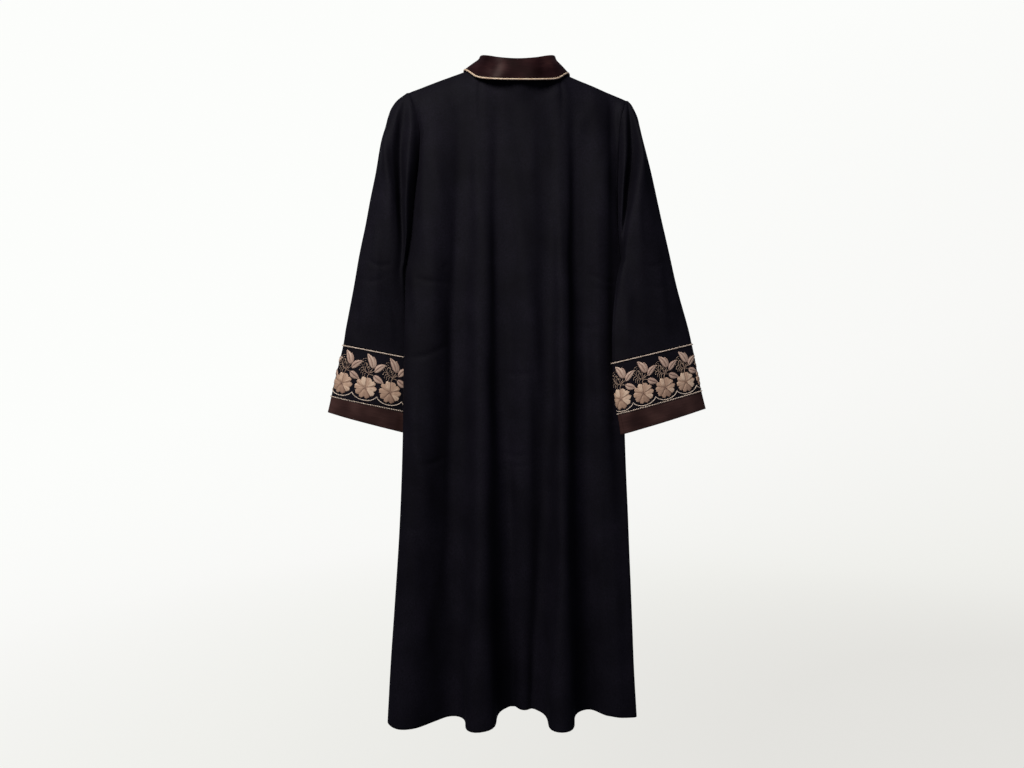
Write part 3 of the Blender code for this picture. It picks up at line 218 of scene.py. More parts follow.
RIGHT_SLEEVE = dict(
    outer=((-59, 219), (-67, 227), (-75, 232), (-91, 240), (-115, 246),
           (-155, 256), (-256, 279), (-357, 301), (-438, 319), (-549, 346),
           (-620, 359), (-677, 372)),
    inner=((-382, 208, -2), (-400, 204, 5), (-430, 198, 14), (-480, 190, 29),
           (-520, 187, 33), (-580, 187, 36), (-650, 192, 38), (-727, 204, 38)),
    lines=(
        ("seam_ridge", (0.25, 0.24, 0.10, 0.0, 0.01, 0.01, 0.01),
         (18, 24, 22, 9, 35, 42, 43)),
        ("groove", (0.40, 0.50, 0.27, 0.01, 0.05, 0.05, 0.05), (18, 13, 7, 24, 39, 46, 47)),
        ("inner_ridge", (0.60, 0.75, 0.38, 0.08, 0.16, 0.17, 0.17),
         (22, 24, 32, 35, 42, 49, 50)),
        ("outer_ridge", (0.85, 0.90, 0.58, 0.40, 0.42, 0.42, 0.42),
         (20, 28, 34, 37, 42, 49, 50)),
        ("flank", (0.95, 0.97, 0.82, 0.76, 0.76, 0.76, 0.76), (12, 14, 20, 24, 30, 37, 39)),
        ("outer_edge", (1, 1, 1, 1, 1, 1, 1), (0, 0, 0, 2, 8, 18, 22)),
        ("front_outer", (0.90, 0.90, 0.80, 0.76, 0.76, 0.76, 0.76),
         (-12, -14, -18, -14, -2, 11, 15)),
        ("front_middle", (0.60, 0.60, 0.50, 0.45, 0.45, 0.45, 0.45),
         (-18, -22, -22, -14, 4, 16, 20)),
        ("front_inner", (0.30, 0.30, 0.22, 0.16, 0.16, 0.14, 0.14),
         (-14, -16, -16, -8, 10, 22, 25)),
    ),
    band_top=(-549, -587), band_end=(-642, -687), cuff_end=(-677, -727),
    layout_start=2 / 3, layout_shift=-10, flower_level=0.725,
)
REPEAT_WIDTH, MOTIF_PITCH = 47.0, 49.0  # wanted width of a repeat, its width in the tables
FLOWER_SHIFT = -2.0  # of a flower, from the middle of its repeat

# ---- creases --------------------------------------------------------------
# Each row: points (x, z) along the crease, half width, height above the cloth (less
# than 0 for a groove), and skew, which makes one of its sides the steeper.
BACK_CREASES = (
    (((-116, -88), (-121, -300), (-129, -490), (-134, -800), (-143, -1100)), 9, -4.2, 0.0),
    (((112, -84), (111, -300), (112, -490), (114, -760), (119, -1080)), 8, -4.0, 0.0),
    (((-46, -120), (-44, -330), (-42, -560), (-38, -900)), 8, -2.2, 0.0),
    (((-204, -416), (-172, -425), (-133, -426)), 5, -1.8, 0.7),
    (((-148, -402), (-142, -394), (-135, -386)), 4, -1.3, 0.4),
    (((-217, -575), (-180, -570), (-139, -549)), 5, -1.9, 0.8),
    (((-188, -785), (-167, -782), (-145, -772)), 5, -1.7, 0.6),
    (((-26, -606), (6, -608), (38, -604)), 5, -1.1, 0.5),
    (((-42, -761), (-12, -769), (22, -767)), 6, -1.0, 0.5),
    (((-30, -787), (-2, -791), (24, -788)), 4, -0.8, 0.4),
    (((139, -407), (170, -420), (199, -425)), 5, -1.2, 0.6),
    (((152, -436), (175, -441), (198, -439)), 4, -1.0, 0.4),
    (((-208, -648), (-193, -770), (-172, -846)), 12, 3.2, 0.5),
    (((-127, -1066), (-118, -1073), (-109, -1077)), 4, -1.0, 0.5),
    (((-77, -1146), (-67, -1153), (-58, -1157)), 4, -1.0, 0.5),
    (((-30, -29), (-14, -31), (5, -28)), 4, 1.6, 0.5),
    (((12, -31), (36, -34), (60, -30)), 5, 2.0, 0.5),
    (((-216, -388), (-206, -452), (-196, -540)), 9, 2.2, -0.4),
    (((-190, -150), (-154, -226), (-134, -330)), 15, 1.8, 0.4),
    (((192, -138), (168, -232), (158, -345)), 13, 1.6, -0.4),
    (((-150, -58), (-118, -112), (-104, -170)), 13, 1.5, 0.3),
    (((150, -62), (122, -118), (112, -176)), 12, 1.3, -0.3),
    (((-40, -70), (-38, -150), (-42, -240)), 9, -1.2, 0.2),
    (((26, -64), (30, -140), (27, -226)), 10, 1.1, -0.2),
    (((30, -560), (36, -700), (34, -905)), 9, -2.0, 0.3),
    (((-8, -690), (-4, -840), (-10, -1010)), 10, 2.2, -0.3),
    (((206, -520), (202, -640), (205, -760)), 8, 1.6, 0.4),
    (((-150, -905), (-166, -1030), (-188, -1180)), 13, 2.2, 0.3),
    (((186, -940), (196, -1060), (208, -1200)), 11, 2.0, -0.3),
    (((-216, -905), (-204, -915), (-190, -912)), 5, -1.0, 0.5),
    (((168, -690), (186, -700), (206, -697)), 5, -0.9, 0.5),
    (((120, -508), (140, -516), (164, -511)), 5, -0.8, 0.4),
)
FRONT_CREASES = (
    (((-206, -420), (-178, -432), (-138, -430)), 5, -1.7, 0.6),
    (((-198, -470), (-170, -476), (-144, -470)), 4, -1.0, 0.5),
    (((136, -412), (172, -428), (202, -428)), 5, -1.6, 0.6),
    (((-120, -640), (-96, -650), (-70, -645)), 5, -1.0, 0.5),
    (((60, -700), (88, -712), (118, -706)), 6, -1.1, 0.5),
    (((-196, -820), (-172, -832), (-150, -828)), 5, -1.3, 0.5),
    (((150, -860), (176, -874), (204, -868)), 5, -1.2, 0.5),
    (((-190, -140), (-150, -220), (-128, -320)), 14, 1.8, 0.4),
    (((190, -146), (156, -224), (136, -330)), 14, 1.7, -0.4),
    (((-56, -150), (-52, -280), (-58, -430)), 9, -1.4, 0.2),
    (((58, -160), (60, -300), (56, -470)), 10, 1.4, -0.2),
    (((-100, -820), (-108, -960), (-124, -1120)), 10, -2.0, 0.3),
    (((106, -760), (112, -930), (124, -1100)), 11, 2.0, -0.3),
)
# On the sleeves each row starts with the face it is on.
LEFT_SLEEVE_CREASES = (
    ("back", ((-264, -112), (-258, -200), (-243, -272)), 9, 2.6, 0.4),
    ("back", ((-232, -92), (-232, -220), (-230, -366)), 5, -2.2, 0.3),
    ("back", ((-300, -376), (-276, -392), (-246, -388)), 5, -1.5, 0.6),
    ("back", ((-312, -416), (-290, -424), (-262, -416)), 5, -1.1, 0.5),
    ("back", ((-286, -292), (-280, -380), (-284, -500)), 9, 1.8, -0.4),
    ("back", ((-318, -452), (-320, -500), (-326, -545)), 8, -1.4, 0.3),
    ("back", ((-262, -458), (-252, -505), (-250, -556)), 8, 1.5, 0.3),
    ("front", ((-296, -362), (-270, -384), (-240, -380)), 6, -1.9, 0.6),
    ("front", ((-306, -408), (-284, -422), (-256, -418)), 5, -1.3, 0.5),
    ("front", ((-262, -140), (-262, -240), (-276, -350)), 10, 2.2, 0.4),
    ("front", ((-300, -450), (-306, -500), (-316, -548)), 9, 1.6, -0.3),
)
RIGHT_SLEEVE_CREASES = (
    ("back", ((243, -214), (240, -300), (246, -372)), 8, 2.2, 0.4),
    ("back", ((226, -108), (222, -200), (214, -300)), 5, -1.8, 0.3),
    ("back", ((292, -384), (268, -398), (240, -394)), 5, -1.4, 0.6),
    ("back", ((300, -430), (276, -440), (250, -432)), 5, -1.1, 0.5),
    ("back", ((222, -440), (214, -500), (216, -560)), 8, 1.6, 0.3),
    ("back", ((276, -330), (282, -430), (292, -530)), 10, 1.8, -0.4),
    ("back", ((318, -470), (322, -510), (332, -546)), 7, -1.2, 0.3),
    ("front", ((286, -372), (262, -392), (236, -388)), 6, -1.8, 0.6),
    ("front", ((250, -150), (252, -240), (262, -340)), 10, 2.0, 0.4),
    ("front", ((288, -450), (292, -500), (300, -548)), 9, 1.5, -0.3),
)
# Slow swell of the hanging cloth: waves across and down (mm), turn, height.
SWELL = (
    (62, 410, 0.4, 0.55), (37, 270, 2.1, 0.35), (96, 190, 4.0, 0.4), (148, 120, 1.3, 0.3)
)
PUCKER, PUCKER_WAVES = 0.12, (2.9, 7.7)  # small ripples that a seam draws in beside it
SEAM_FADE = 5  # rows or columns over which creases fade out to a seam

# ---- embroidery of one repeat, in millimetres right of and below a flower's centre ----
PETALS = 5
PETAL_TONES = (0.66, 0.72, 0.48, 0.58, 0.70)
FLOWER_RADIUS = 22.0
LOBE_DEPTH = 0.2
RAGGED = 0.05  # share of the radius by which the stitches miss the petal's line
# Leaf shapes: base, tip, bend to one side, width, height, tone (0 dark to 1 pale).
LEAVES = (
    ("bud_right", (11, -41), (8, -65), 1.5, 9.5, 1.3, 0.50),
    ("bud_left", (10, -41), (-6, -69), 2.5, 13.5, 2.0, 0.60),
    ("leaf_up", (14, -34), (35, -52.5), -2.0, 13, 1.6, 0.56),
    ("leaf_side", (12.5, -27), (34, -15.5), 1.0, 13.5, 1.6, 0.52),
)
# Couched threads: points and thickness.
THREADS = (
    (((0, -19), (2, -27), (6, -34), (9, -40)), 1.7),
    (((5, -32), (9, -34), (14, -36)), 1.3),
    (((3, -28), (8, -28), (13, -26)), 1.3),
    (((14, -37), (23, -44), (32, -53)), 0.7),
    (((13, -27), (22, -22), (31, -16)), 0.7),
    (((4, -31), (-3, -32), (-9, -37), (-13, -44)), 1.1),
    (((-1, -31), (-5, -28), (-5, -23.5)), 1.2),
    (((-4, -33), (-9, -30), (-9.5, -25)), 1.2),
    (((-7, -35.5), (-12.5, -33), (-13.5, -28)), 1.2),
    (((-10, -39), (-15.5, -38), (-17, -33.5)), 1.1),
    (((-3, -32), (-6, -39), (-3, -44), (0.5, -41.5), (-1.5, -39)), 1.1),
    (((-8, -37), (-10, -45), (-6, -50), (-2.5, -47), (-5, -45)), 1.1),
    (((-12, -43), (-16, -48), (-14, -52.5), (-10.5, -50)), 1.0),
    (((-15, -54), (-11, -58), (-5, -59)), 0.8),
    (((1, -36), (3, -41), (1, -45)), 0.9),
)
# Small raised dots of thread: x, y, radius.
KNOTS = (
    (-1, -41, 1.2), (-4.5, -47.5, 1.1), (-13, -50.5, 1.2), (-17.5, -33, 1.1),
    (-14, -27, 1.1), (-9.6, -24, 1.0), (-5, -22.6, 1.0), (1, -46.4, 1.0),
    (2.2, -33.6, 1.9), (5.6, -35.2, 1.8), (4.0, -30.6, 1.8), (0.8, -30.4, 1.6),
    (7.4, -31.8, 1.6), (1.2, -36.8, 1.5), (-17.5, -42, 0.9), (-8.5, -53.5, 0.9),
)
KNOT_LIE = (0.3, 0.2, 1)  # knots lie across this way
PALE_KNOTS = (0, 1, 2, 3, 14, 15)  # those of KNOTS in paler thread
SCALLOP_TOP, SCALLOP_LOW = 15.5, 25.5  # heights of the scalloped cord round a flower
# How broad and how high the scalloped cord peaks between flowers, and how high it lies.
SCALLOP_PEAK, SCALLOP_LIFT = (0.035, 1.6), 0.6
CORD_STRAND, CORD_TWIST = 0.85, 6.5  # radius of a cord's strands, millimetres to a turn
STRAND_OFFSET = 0.62  # of a strand from the cord's middle, as a share of its radius
CORD_BEAD, BEAD_PITCH = (1.35, 1.55), 3.3  # half sizes of the lower cord's beads, spacing
# How far the two cords lie inside the band's edges, and how high above its cloth.
CORD_INSET, TWIST_LIFT, BEAD_LIFT = 0.4, 1.3, 1.1
BAND_ROWS, CUFF_ROWS, TWIST_POINTS = 26, 16, 620
TONE_DRIFT = 0.05  # how far the tone of the flowers and leaves varies round a band
# The groove between two petals: half width, depth, and how much painted shade darkens it.
PETAL_GROOVE = (1.1, 0.7, 0.26)
# A leaf's midrib: half width and depth of its groove, half width and depth of the painted
# shade in that groove.
MIDRIB, MIDRIB_SHADE = (0.7, 0.9), (0.75, 0.45)
# Waves round a cuff: number, turn, height, and whether they grow down to its hem.
CUFF_WAVES = ((5, 0.6, 0.8, True), (11, 2.0, 0.35, False))


# ---- curves ---------------------------------------------------------------
def hermite(start, end, leaving, arriving, t):
    """Smoothly from start to end, at share t of the way, with slopes set at both ends."""
    return (
        start * (2 * t**3 - 3 * t**2 + 1) + end * (3 * t**2 - 2 * t**3)
        + leaving * (t**3 - 2 * t**2 + t) + arriving * (t**3 - t**2)
    )


def level_value(heights, values, z):
    """Smooth value at height z of a quantity given at falling heights."""
    h = -np.asarray(heights, float)
    v = np.asarray(values, float)
    slope = np.gradient(v, h)
    q = min(max(-z, h[0]), h[-1])
    i = min(int(np.searchsorted(h, q, side="right")) - 1, len(h) - 2)
    span = h[i + 1] - h[i]
    return hermite(v[i], v[i + 1], slope[i] * span, slope[i + 1] * span, (q - h[i]) / span)


def table_value(table, column, z):
    return level_value([row[0] for row in table], [row[column] for row in table], z)


def curve_through(knots, steps, ends=None, roundness=1.0):
    """Points of a smooth curve through knots, this many to each stretch."""
    k = np.asarray(knots, float)
    tangent = np.gradient(k, axis=0) * roundness
    if ends is not None:
        tangent[0], tangent[-1] = ends
    t = (np.arange(steps) / steps)[None, :, None]
    points = hermite(k[:-1, None], k[1:, None], tangent[:-1, None], tangent[1:, None], t)
    return np.concatenate([points.reshape(-1, k.shape[1]), k[-1:]])


def reach_along(path):
    """Distance of each point of a path from its start."""
    return np.concatenate([[0], np.cumsum(np.linalg.norm(np.diff(path, axis=0), axis=1))])


def ended(path, closed):
    """The path, with its first point again at the end if it is closed."""
    return np.concatenate([path, path[:1]]) if closed else np.asarray(path)


def closed_ways(path):
    """The way along a closed path at each of its points."""
    return np.roll(path, -1, 0) - np.roll(path, 1, 0)


def evenly(path, count, closed=False):
    """The path again, at evenly spaced places. A closed path isn't ended twice."""
    p = ended(path, closed)
    along = reach_along(p)
    wanted = np.linspace(0, along[-1], count + closed)[:count]
    return np.stack([np.interp(wanted, along, p[:, k]) for k in range(p.shape[1])], 1)


def evenly_with(path, ways, count, closed=False):
    """The same for a path and the direction at each of its points."""
    both = evenly(np.concatenate([path, ways * SLIGHT], 1), count, closed)
    return both[:, :3], unit(both[:, 3:])


def path_length(path, closed=False):
    return float(reach_along(ended(path, closed))[-1])


def unit(vectors):
    v = np.asarray(vectors, float)
    return v / np.maximum(np.linalg.norm(v, axis=-1, keepdims=True), 1e-9)


def clamped(share):
    return min(max(share, 0), 1)


def eased(share):
    s = np.clip(share, 0, 1)
    return s * s * (3 - 2 * s)


def swell_at(x, place, width):
    """1 at a place, falling off smoothly over a width to each side."""
    return np.exp(-(((x - place) / width) ** 2))


def rounded_over(depth, drop):
    return depth * math.sqrt(1 - (1 - clamped(drop / SHOULDER_ROUND)) ** 2)


# ---- meshes ---------------------------------------------------------------
def put_in_scene(name, data):
    made = bpy.data.objects.new(name, data)
    bpy.context.scene.collection.objects.link(made)
    return made


def smooth_mesh(name, points, faces, finish):
    """A smooth mesh from points in metres."""
    mesh = bpy.data.meshes.new(name)
    mesh.from_pydata(np.reshape(points, (-1, 3)).tolist(), [], [tuple(f) for f in faces])
    mesh.shade_smooth()
    mesh.materials.append(finish)
    return mesh


def sewn_piece(name, points, faces, finish, tone=None, uv=None):
    """A mesh object from points in millimetres, riding on the cloak."""
    mesh = smooth_mesh(name, np.asarray(points) * MM, faces, finish)
    corners = np.zeros(len(mesh.loops), int)
    mesh.loops.foreach_get("vertex_index", corners)
    if tone is not None:
        layer = mesh.attributes.new("tone", "FLOAT", "POINT")
        layer.data.foreach_set("value", np.asarray(tone, float))
    if uv is not None:
        layer = mesh.uv_layers.new(name="thread_lay")
        layer.data.foreach_set("uv", (np.asarray(uv, float)[corners] * MM).ravel())
    made = put_in_scene(name, mesh)
    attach(made, "root")
    return made


TURNED = [0, 3, 2, 1]  # corners of a face in the other direction


def grid_faces(number, closed_rows=False, closed_columns=False):
    """Four-sided faces between the neighbours in a grid of point numbers."""
    n = ended(ended(number, closed_rows).T, closed_columns).T
    return np.stack([n[:-1, :-1], n[:-1, 1:], n[1:, 1:], n[1:, :-1]], -1).reshape(-1, 4)


class Sheet:
    """A grid of points with the outward direction of the cloth at each of them."""

    def __init__(self, grid, facing_in=False, one_top=False, closed_from=None):
        self.grid = np.array(grid, float)
        self.rows, self.columns = self.grid.shape[:2]
        self.facing_in = facing_in
        number = np.arange(self.rows * self.columns).reshape(self.rows, self.columns)
        if one_top:
            number[0] = 0
        if closed_from is not None:
            number[closed_from:, -1] = number[closed_from:, 0]
        self.number = number
        quads = grid_faces(number)[:, TURNED]
        self.quads = quads[:, ::-1] if facing_in else quads
        self.set_normals()

    def set_normals(self):
        p = self.grid.reshape(-1, 3)
        q = self.quads
        across = np.cross(p[q[:, 2]] - p[q[:, 0]], p[q[:, 3]] - p[q[:, 1]])
        total = np.zeros_like(p)
        for corner in range(4):
            np.add.at(total, q[:, corner], across)
        self.normal = unit(total)[self.number]

    def part(self, start, end):
        """The columns from start to end as a sheet of their own."""
        cut = Sheet(self.grid[:, start : end + 1], self.facing_in)
        cut.normal = self.normal[:, start : end + 1].copy()
        return cut

    def shell(self, name, thickness, finish):
        """A closed thin shell, half the thickness to each side of the sheet."""
        used = np.unique(self.number)
        place = np.zeros(self.number.size, int)
        place[used] = np.arange(len(used))
        p, n = self.grid.reshape(-1, 3)[used], self.normal.reshape(-1, 3)[used]
        quads = place[self.quads]
        count = len(used)
        faces = []
        for quad in quads.tolist():
            kept = [c for i, c in enumerate(quad) if c != quad[i - 1]]
            if len(kept) > 2:
                faces.append(tuple(kept))
        edges = {(a, b) for f in faces for a, b in zip(f, (*f[1:], f[0]))}
        rim = [(b, a, a + count, b + count) for a, b in edges if (b, a) not in edges]
        inner = [tuple(c + count for c in reversed(f)) for f in faces]
        points = np.concatenate([p + n * thickness / 2, p - n * thickness / 2])
        lay = np.tile(self.lay().reshape(-1, 2)[used], (2, 1))
        return sewn_piece(name, points, faces + inner + sorted(rim), finish, uv=lay)

    def lay(self):
        """Millimetres across and down the cloth at each point."""
        across = np.linalg.norm(np.diff(self.grid, axis=1), axis=2)
        down = np.linalg.norm(np.diff(self.grid, axis=0), axis=2)
        u = np.concatenate([np.zeros((self.rows, 1)), np.cumsum(across, 1)], 1)
        v = np.concatenate([np.zeros((1, self.columns)), np.cumsum(down, 0)], 0)
        return np.stack([u - u.mean(1, keepdims=True), v], -1)


def tubes(name, paths, finish, sides=6):
    """Round threads or cords along paths. Each is points, outward ways, radius, closed."""
    points, faces, lay, first = [], [], [], 0
    angle = 2 * math.pi * (np.arange(sides) + 0.5) / sides
    for path, out, radius, closed in paths:
        along = closed_ways(path)
        if not closed:
            along[0], along[-1] = path[1] - path[0], path[-1] - path[-2]
        t = unit(along)
        a = unit(out - (out * t).sum(1, keepdims=True) * t)
        b = np.cross(t, a)
        radii = np.broadcast_to(np.asarray(radius, float), (len(path),))[:, None]
        ring = np.cos(angle)[None, :, None] * a[:, None]
        ring = ring + np.sin(angle)[None, :, None] * b[:, None]
        points.append((path[:, None] + ring * radii[..., None]).reshape(-1, 3))
        places = np.broadcast_arrays(radii * angle[None], reach_along(path)[:, None])
        lay.append(np.stack(places, -1).reshape(-1, 2))
        number = first + np.arange(len(path) * sides).reshape(-1, sides)
        faces += grid_faces(number, closed, True).tolist()
        if not closed:
            faces += [number[0].tolist(), number[-1, ::-1].tolist()]
        first += number.size
    tones = np.full(first, 0.5)
    return sewn_piece(name, np.concatenate(points), faces, finish, tones, np.concatenate(lay))


def beads(name, places, finish, sides=8, rings=5, tone=None):
    """Round beads. Each place is centre, outward way, way along, and half sizes of these."""
    lat, turn = math.pi * np.arange(1, rings) / rings, 2 * math.pi * np.arange(sides) / sides
    up = np.concatenate([[1], np.repeat(np.cos(lat), sides), [-1]])[:, None]
    ahead = np.concatenate([[0], np.outer(np.sin(lat), np.cos(turn)).ravel(), [0]])[:, None]
    aside = np.concatenate([[0], np.outer(np.sin(lat), np.sin(turn)).ravel(), [0]])[:, None]
    number = 1 + np.arange((rings - 1) * sides).reshape(-1, sides)
    last = number.size + 1
    shape = [(0, a, b) for a, b in zip(number[0], np.roll(number[0], -1))]
    shape += grid_faces(number, False, True)[:, TURNED].tolist()
    shape += [(a, last, b) for a, b in zip(number[-1], np.roll(number[-1], -1))]
    points, faces = [], []
    for i, (centre, out, along, sizes) in enumerate(places):
        t, n = unit(along), unit(out)
        s = np.cross(t, n)
        points.append(centre + sizes[0] * (up * n + aside * s) + sizes[1] * ahead * t)
        faces += [tuple(i * (last + 1) + corner for corner in face) for face in shape]
    tones = np.repeat(tone if tone is not None else np.full(len(places), 0.5), last + 1)
    return sewn_piece(name, np.concatenate(points), faces, finish, tones)


# ---- creases --------------------------------------------------------------
def crease_lift(x, z, points, width, height, skew):
    """How far one crease lifts the cloth at each place."""
    path = evenly(curve_through(points, 8), 24)
    place = np.stack([x, z], -1)[..., None, :]
    a, b = path[:-1], path[1:]
    way = b - a
    share = np.clip(((place - a) * way).sum(-1) / (way**2).sum(-1), 0, 1)
    off = place - a - share[..., None] * way
    gap = np.linalg.norm(off, axis=-1)
    nearest = gap.argmin(-1)[..., None]
    side = np.sign(off[..., 0] * way[:, 1] - off[..., 1] * way[:, 0])
    gap, share, side = (
        np.take_along_axis(found, nearest, -1)[..., 0] for found in (gap, share, side)
    )
    s = gap / width
    along = (nearest[..., 0] + share) / len(way)
    taper = np.sin(math.pi * np.clip(along, 0.02, 0.98)) ** 0.7
    return height * taper * np.exp(-(s**2)) * (1 + skew * side * np.minimum(s, 1))


def lay_creases(sheet, creases, where=1.0):
    x, z = sheet.grid[..., 0], sheet.grid[..., 2]
    lift = np.zeros(x.shape)
    for points, width, height, skew in creases:
        low, high = np.min(points, 0) - 4 * width, np.max(points, 0) + 4 * width
        near = (x > low[0]) & (x < high[0]) & (z > low[1]) & (z < high[1])
        lift[near] += crease_lift(x[near], z[near], points, width, height, skew)
    for across, down, turn, height in SWELL:
        lift += height * np.sin(2 * math.pi * (x / across + z / down) + turn)
    sheet.grid += sheet.normal * (lift * where)[..., None]


def pull_in_seam(sheet, edge):
    """Draw the cloth in along an edge: 'first' or 'last' column, or the 'top' row."""
    g = sheet.grid if edge != "top" else sheet.grid.transpose(1, 0, 2)
    g = g[:, ::-1] if edge == "last" else g
    steps = np.linalg.norm(np.diff(g, axis=1), axis=2)
    away = np.concatenate([np.zeros((len(g), 1)), np.cumsum(steps, 1)], 1)
    along = reach_along(g[:, 0])
    short, long = PUCKER_WAVES
    ripple = np.sin(along / short) * np.sin(along / long + 1) * PUCKER
    dip = -SEAM_DIP * swell_at(away, 0, SEAM_WIDTH)
    dip += ripple[:, None] * (away / SEAM_WIDTH) * np.exp(-away / SEAM_WIDTH / 1.6)
    dip = dip[:, ::-1] if edge == "last" else dip
    dip = dip.T if edge == "top" else dip
    sheet.grid += sheet.normal * dip[..., None]


# ---- the neck seam and the shoulders --------------------------------------
def point_of(x_depth_z):
    x, depth, z = x_depth_z
    return np.array([x, -depth, z], float)


def collar_curve(part, steps=COLUMN_STEPS):
    """Seam, fold or leaf edge (part 1, 2 or 3) from left front round to right front."""
    right = [point_of(row[part]) for row in COLLAR_STATIONS]
    left = [p * (-1, 1, 1) for p in right[:0:-1]]
    if part == 3:
        right = [p + np.array(RIGHT_SAG) * row[4] for p, row in zip(right, COLLAR_STATIONS)]
    return curve_through(left + right, steps)


def neck_points(front, count):
    """Even points of the neck seam, left to right over the back or the front."""
    seam = collar_curve(1)
    middle = len(seam) // 2
    side = [row[0] for row in COLLAR_STATIONS].index("side") * COLUMN_STEPS
    if front:
        places = [*range(middle - side, -1, -1)]
        places += [*range(len(seam) - 1, middle + side - 1, -1)]
    else:
        places = [*range(middle - side, middle + side + 1)]
    return evenly(seam[places], count)


def neck_wall(point):
    outward = unit(point * (1, 1, 0))
    return unit(outward + (0, 0, (abs(point[0]) / NECK_POINT_X) ** 3))


def shoulder_z(x):
    (near_x, near_z), (tip_x, tip_z) = LEFT_SHOULDER if x < 0 else RIGHT_SHOULDER
    share = (abs(x) - abs(near_x)) / (abs(tip_x) - abs(near_x))
    if share >= 0:
        return near_z + share * (tip_z - near_z)
    t = (abs(x) - NECK_POINT_X) / (abs(near_x) - NECK_POINT_X)
    return NECK_POINT_Z + (near_z - NECK_POINT_Z) * t


def shoulder_normal(x):
    rise = shoulder_z(x + 1) - shoulder_z(x - 1)
    return unit((-rise / 2, 0, 1))


# ---- body panels ----------------------------------------------------------
def side_point(edge, front, z):
    depths = [table_value(edge, column, z) for column in (2, 3)]
    depth = depths[1 if front else 0] if z > UNDERARM_Z else sum(depths) / 2
    return (table_value(edge, 1, z), -depth, z)


def body_rows():
    """Stage and place of each row: the top, between two heights, and the hem."""
    rows = [(0, s) for s in np.linspace(0, 1, ROWS["top"], endpoint=False)]
    rows += [(1, z) for z in np.linspace(BLADE_Z, UNDERARM_Z, ROWS["upper"], endpoint=False)]
    rows += [(1, z) for z in np.linspace(UNDERARM_Z, LAST_Z, ROWS["lower"])]
    return rows + [(2, s) for s in np.linspace(0, 1, ROWS["hem"] + 1)[1:]]


def line_column(name, lines):
    """The column of a grid on which a fold line lies."""
    return ([row[0] for row in lines].index(name) + 1) * COLUMN_STEPS


def square_flutes(ring, lines):
    """Give the flutes of one row their flat crests and steep sides, by its height."""
    t = np.linspace(0, 1, COLUMN_STEPS + 1)
    place = t + FLUTE_TIGHT * np.sin(2 * math.pi * t) / (2 * math.pi)
    place += FLUTE_BROAD * 4 * t * (1 - t)
    for name in FLUTES:
        crest = line_column(name, lines)
        share = eased((FLUTE_START - ring[crest, 2]) / (FLUTE_START - FLUTE_FULL))
        for way in (-1, 1):
            columns = crest + way * np.arange(COLUMN_STEPS + 1)
            reach = ring[columns[-1], 0] - ring[crest, 0]
            wanted = ring[crest, 0] + reach * place
            ring[columns, 0] += (wanted - ring[columns, 0]) * share


def body_grid(lines, front):
    """Points of the whole back or front, and its first and last neck column."""
    facing = 1 if front else -1
    levels = tuple(LEVELS.values())
    top_x = [LEFT_SHOULDER[1][0], *(row[1] for row in lines), RIGHT_SHOULDER[1][0]]
    hems = [LEFT_HEM, *(row[4] for row in lines), RIGHT_HEM]
    inside = [i for i, x in enumerate(top_x) if abs(x) <= NECK_POINT_X]
    first, last = inside[0], inside[-1]
    neck = neck_points(front, last - first + 1)
    tops = [
        neck[i - first] if i in inside else (x, 0, shoulder_z(x)) for i, x in enumerate(top_x)
    ]

    def knot(i, z):
        drop = tops[i][2] - z
        if i in (0, len(lines) + 1):
            return side_point(LEFT_EDGE if i == 0 else RIGHT_EDGE, front, z)
        row = lines[i - 1]
        share = clamped(drop / (tops[i][2] - levels[0]))
        if i in inside:
            share = min(drop / SHOULDER_ROUND, 1)
        ease = eased(share)
        x = tops[i][0] + (level_value(levels, row[2], z) - tops[i][0]) * ease
        y = -level_value(levels, row[3], z)
        if first < i < last:
            return (x, tops[i][1] + (y - tops[i][1]) * ease, z)
        return (x, rounded_over(y, drop), z)

    grid = []
    for stage, value in body_rows():
        knots = []
        for i, top in enumerate(tops):
            z = value
            if stage == 0:
                z = top[2] + (BLADE_Z - top[2]) * value
            elif stage == 2:
                z = LAST_Z + (hems[i] - LAST_Z) * value
            knots.append(knot(i, z))
        knots = np.array(knots)
        ends = []
        for end, beside, towards in ((0, 1, 1), (-1, -2, -1)):
            out = knots[beside] - knots[end]
            below = clamped((UNDERARM_Z - knots[end][2]) / SWING_START)
            swing = max(abs(out[1]) * SIDE_DEPTH, SIDE_SWING * below)
            reach = SIDE_REACH[0] + (SIDE_REACH[1] - SIDE_REACH[0]) * below
            ends.append(towards * np.array([reach * out[0], facing * swing, out[2]]))
        ring = curve_through(knots, COLUMN_STEPS, ends, ROUNDNESS)
        if not front:
            square_flutes(ring, lines)
        grid.append(ring)
    grid = np.array(grid)
    a, b = first * COLUMN_STEPS, last * COLUMN_STEPS
    wanted = grid[0].copy()
    for c in [*range(a), *range(b + 1, grid.shape[1])]:
        wanted[c] = (grid[0][c][0], 0, shoulder_z(grid[0][c][0]))
    wanted[a : b + 1] = neck_points(front, b - a + 1)
    shift = wanted - grid[0]
    for r, (stage, share) in enumerate(body_rows()):
        if stage == 0:
            grid[r] += shift * (1 - share) ** 3
    return grid, a, b


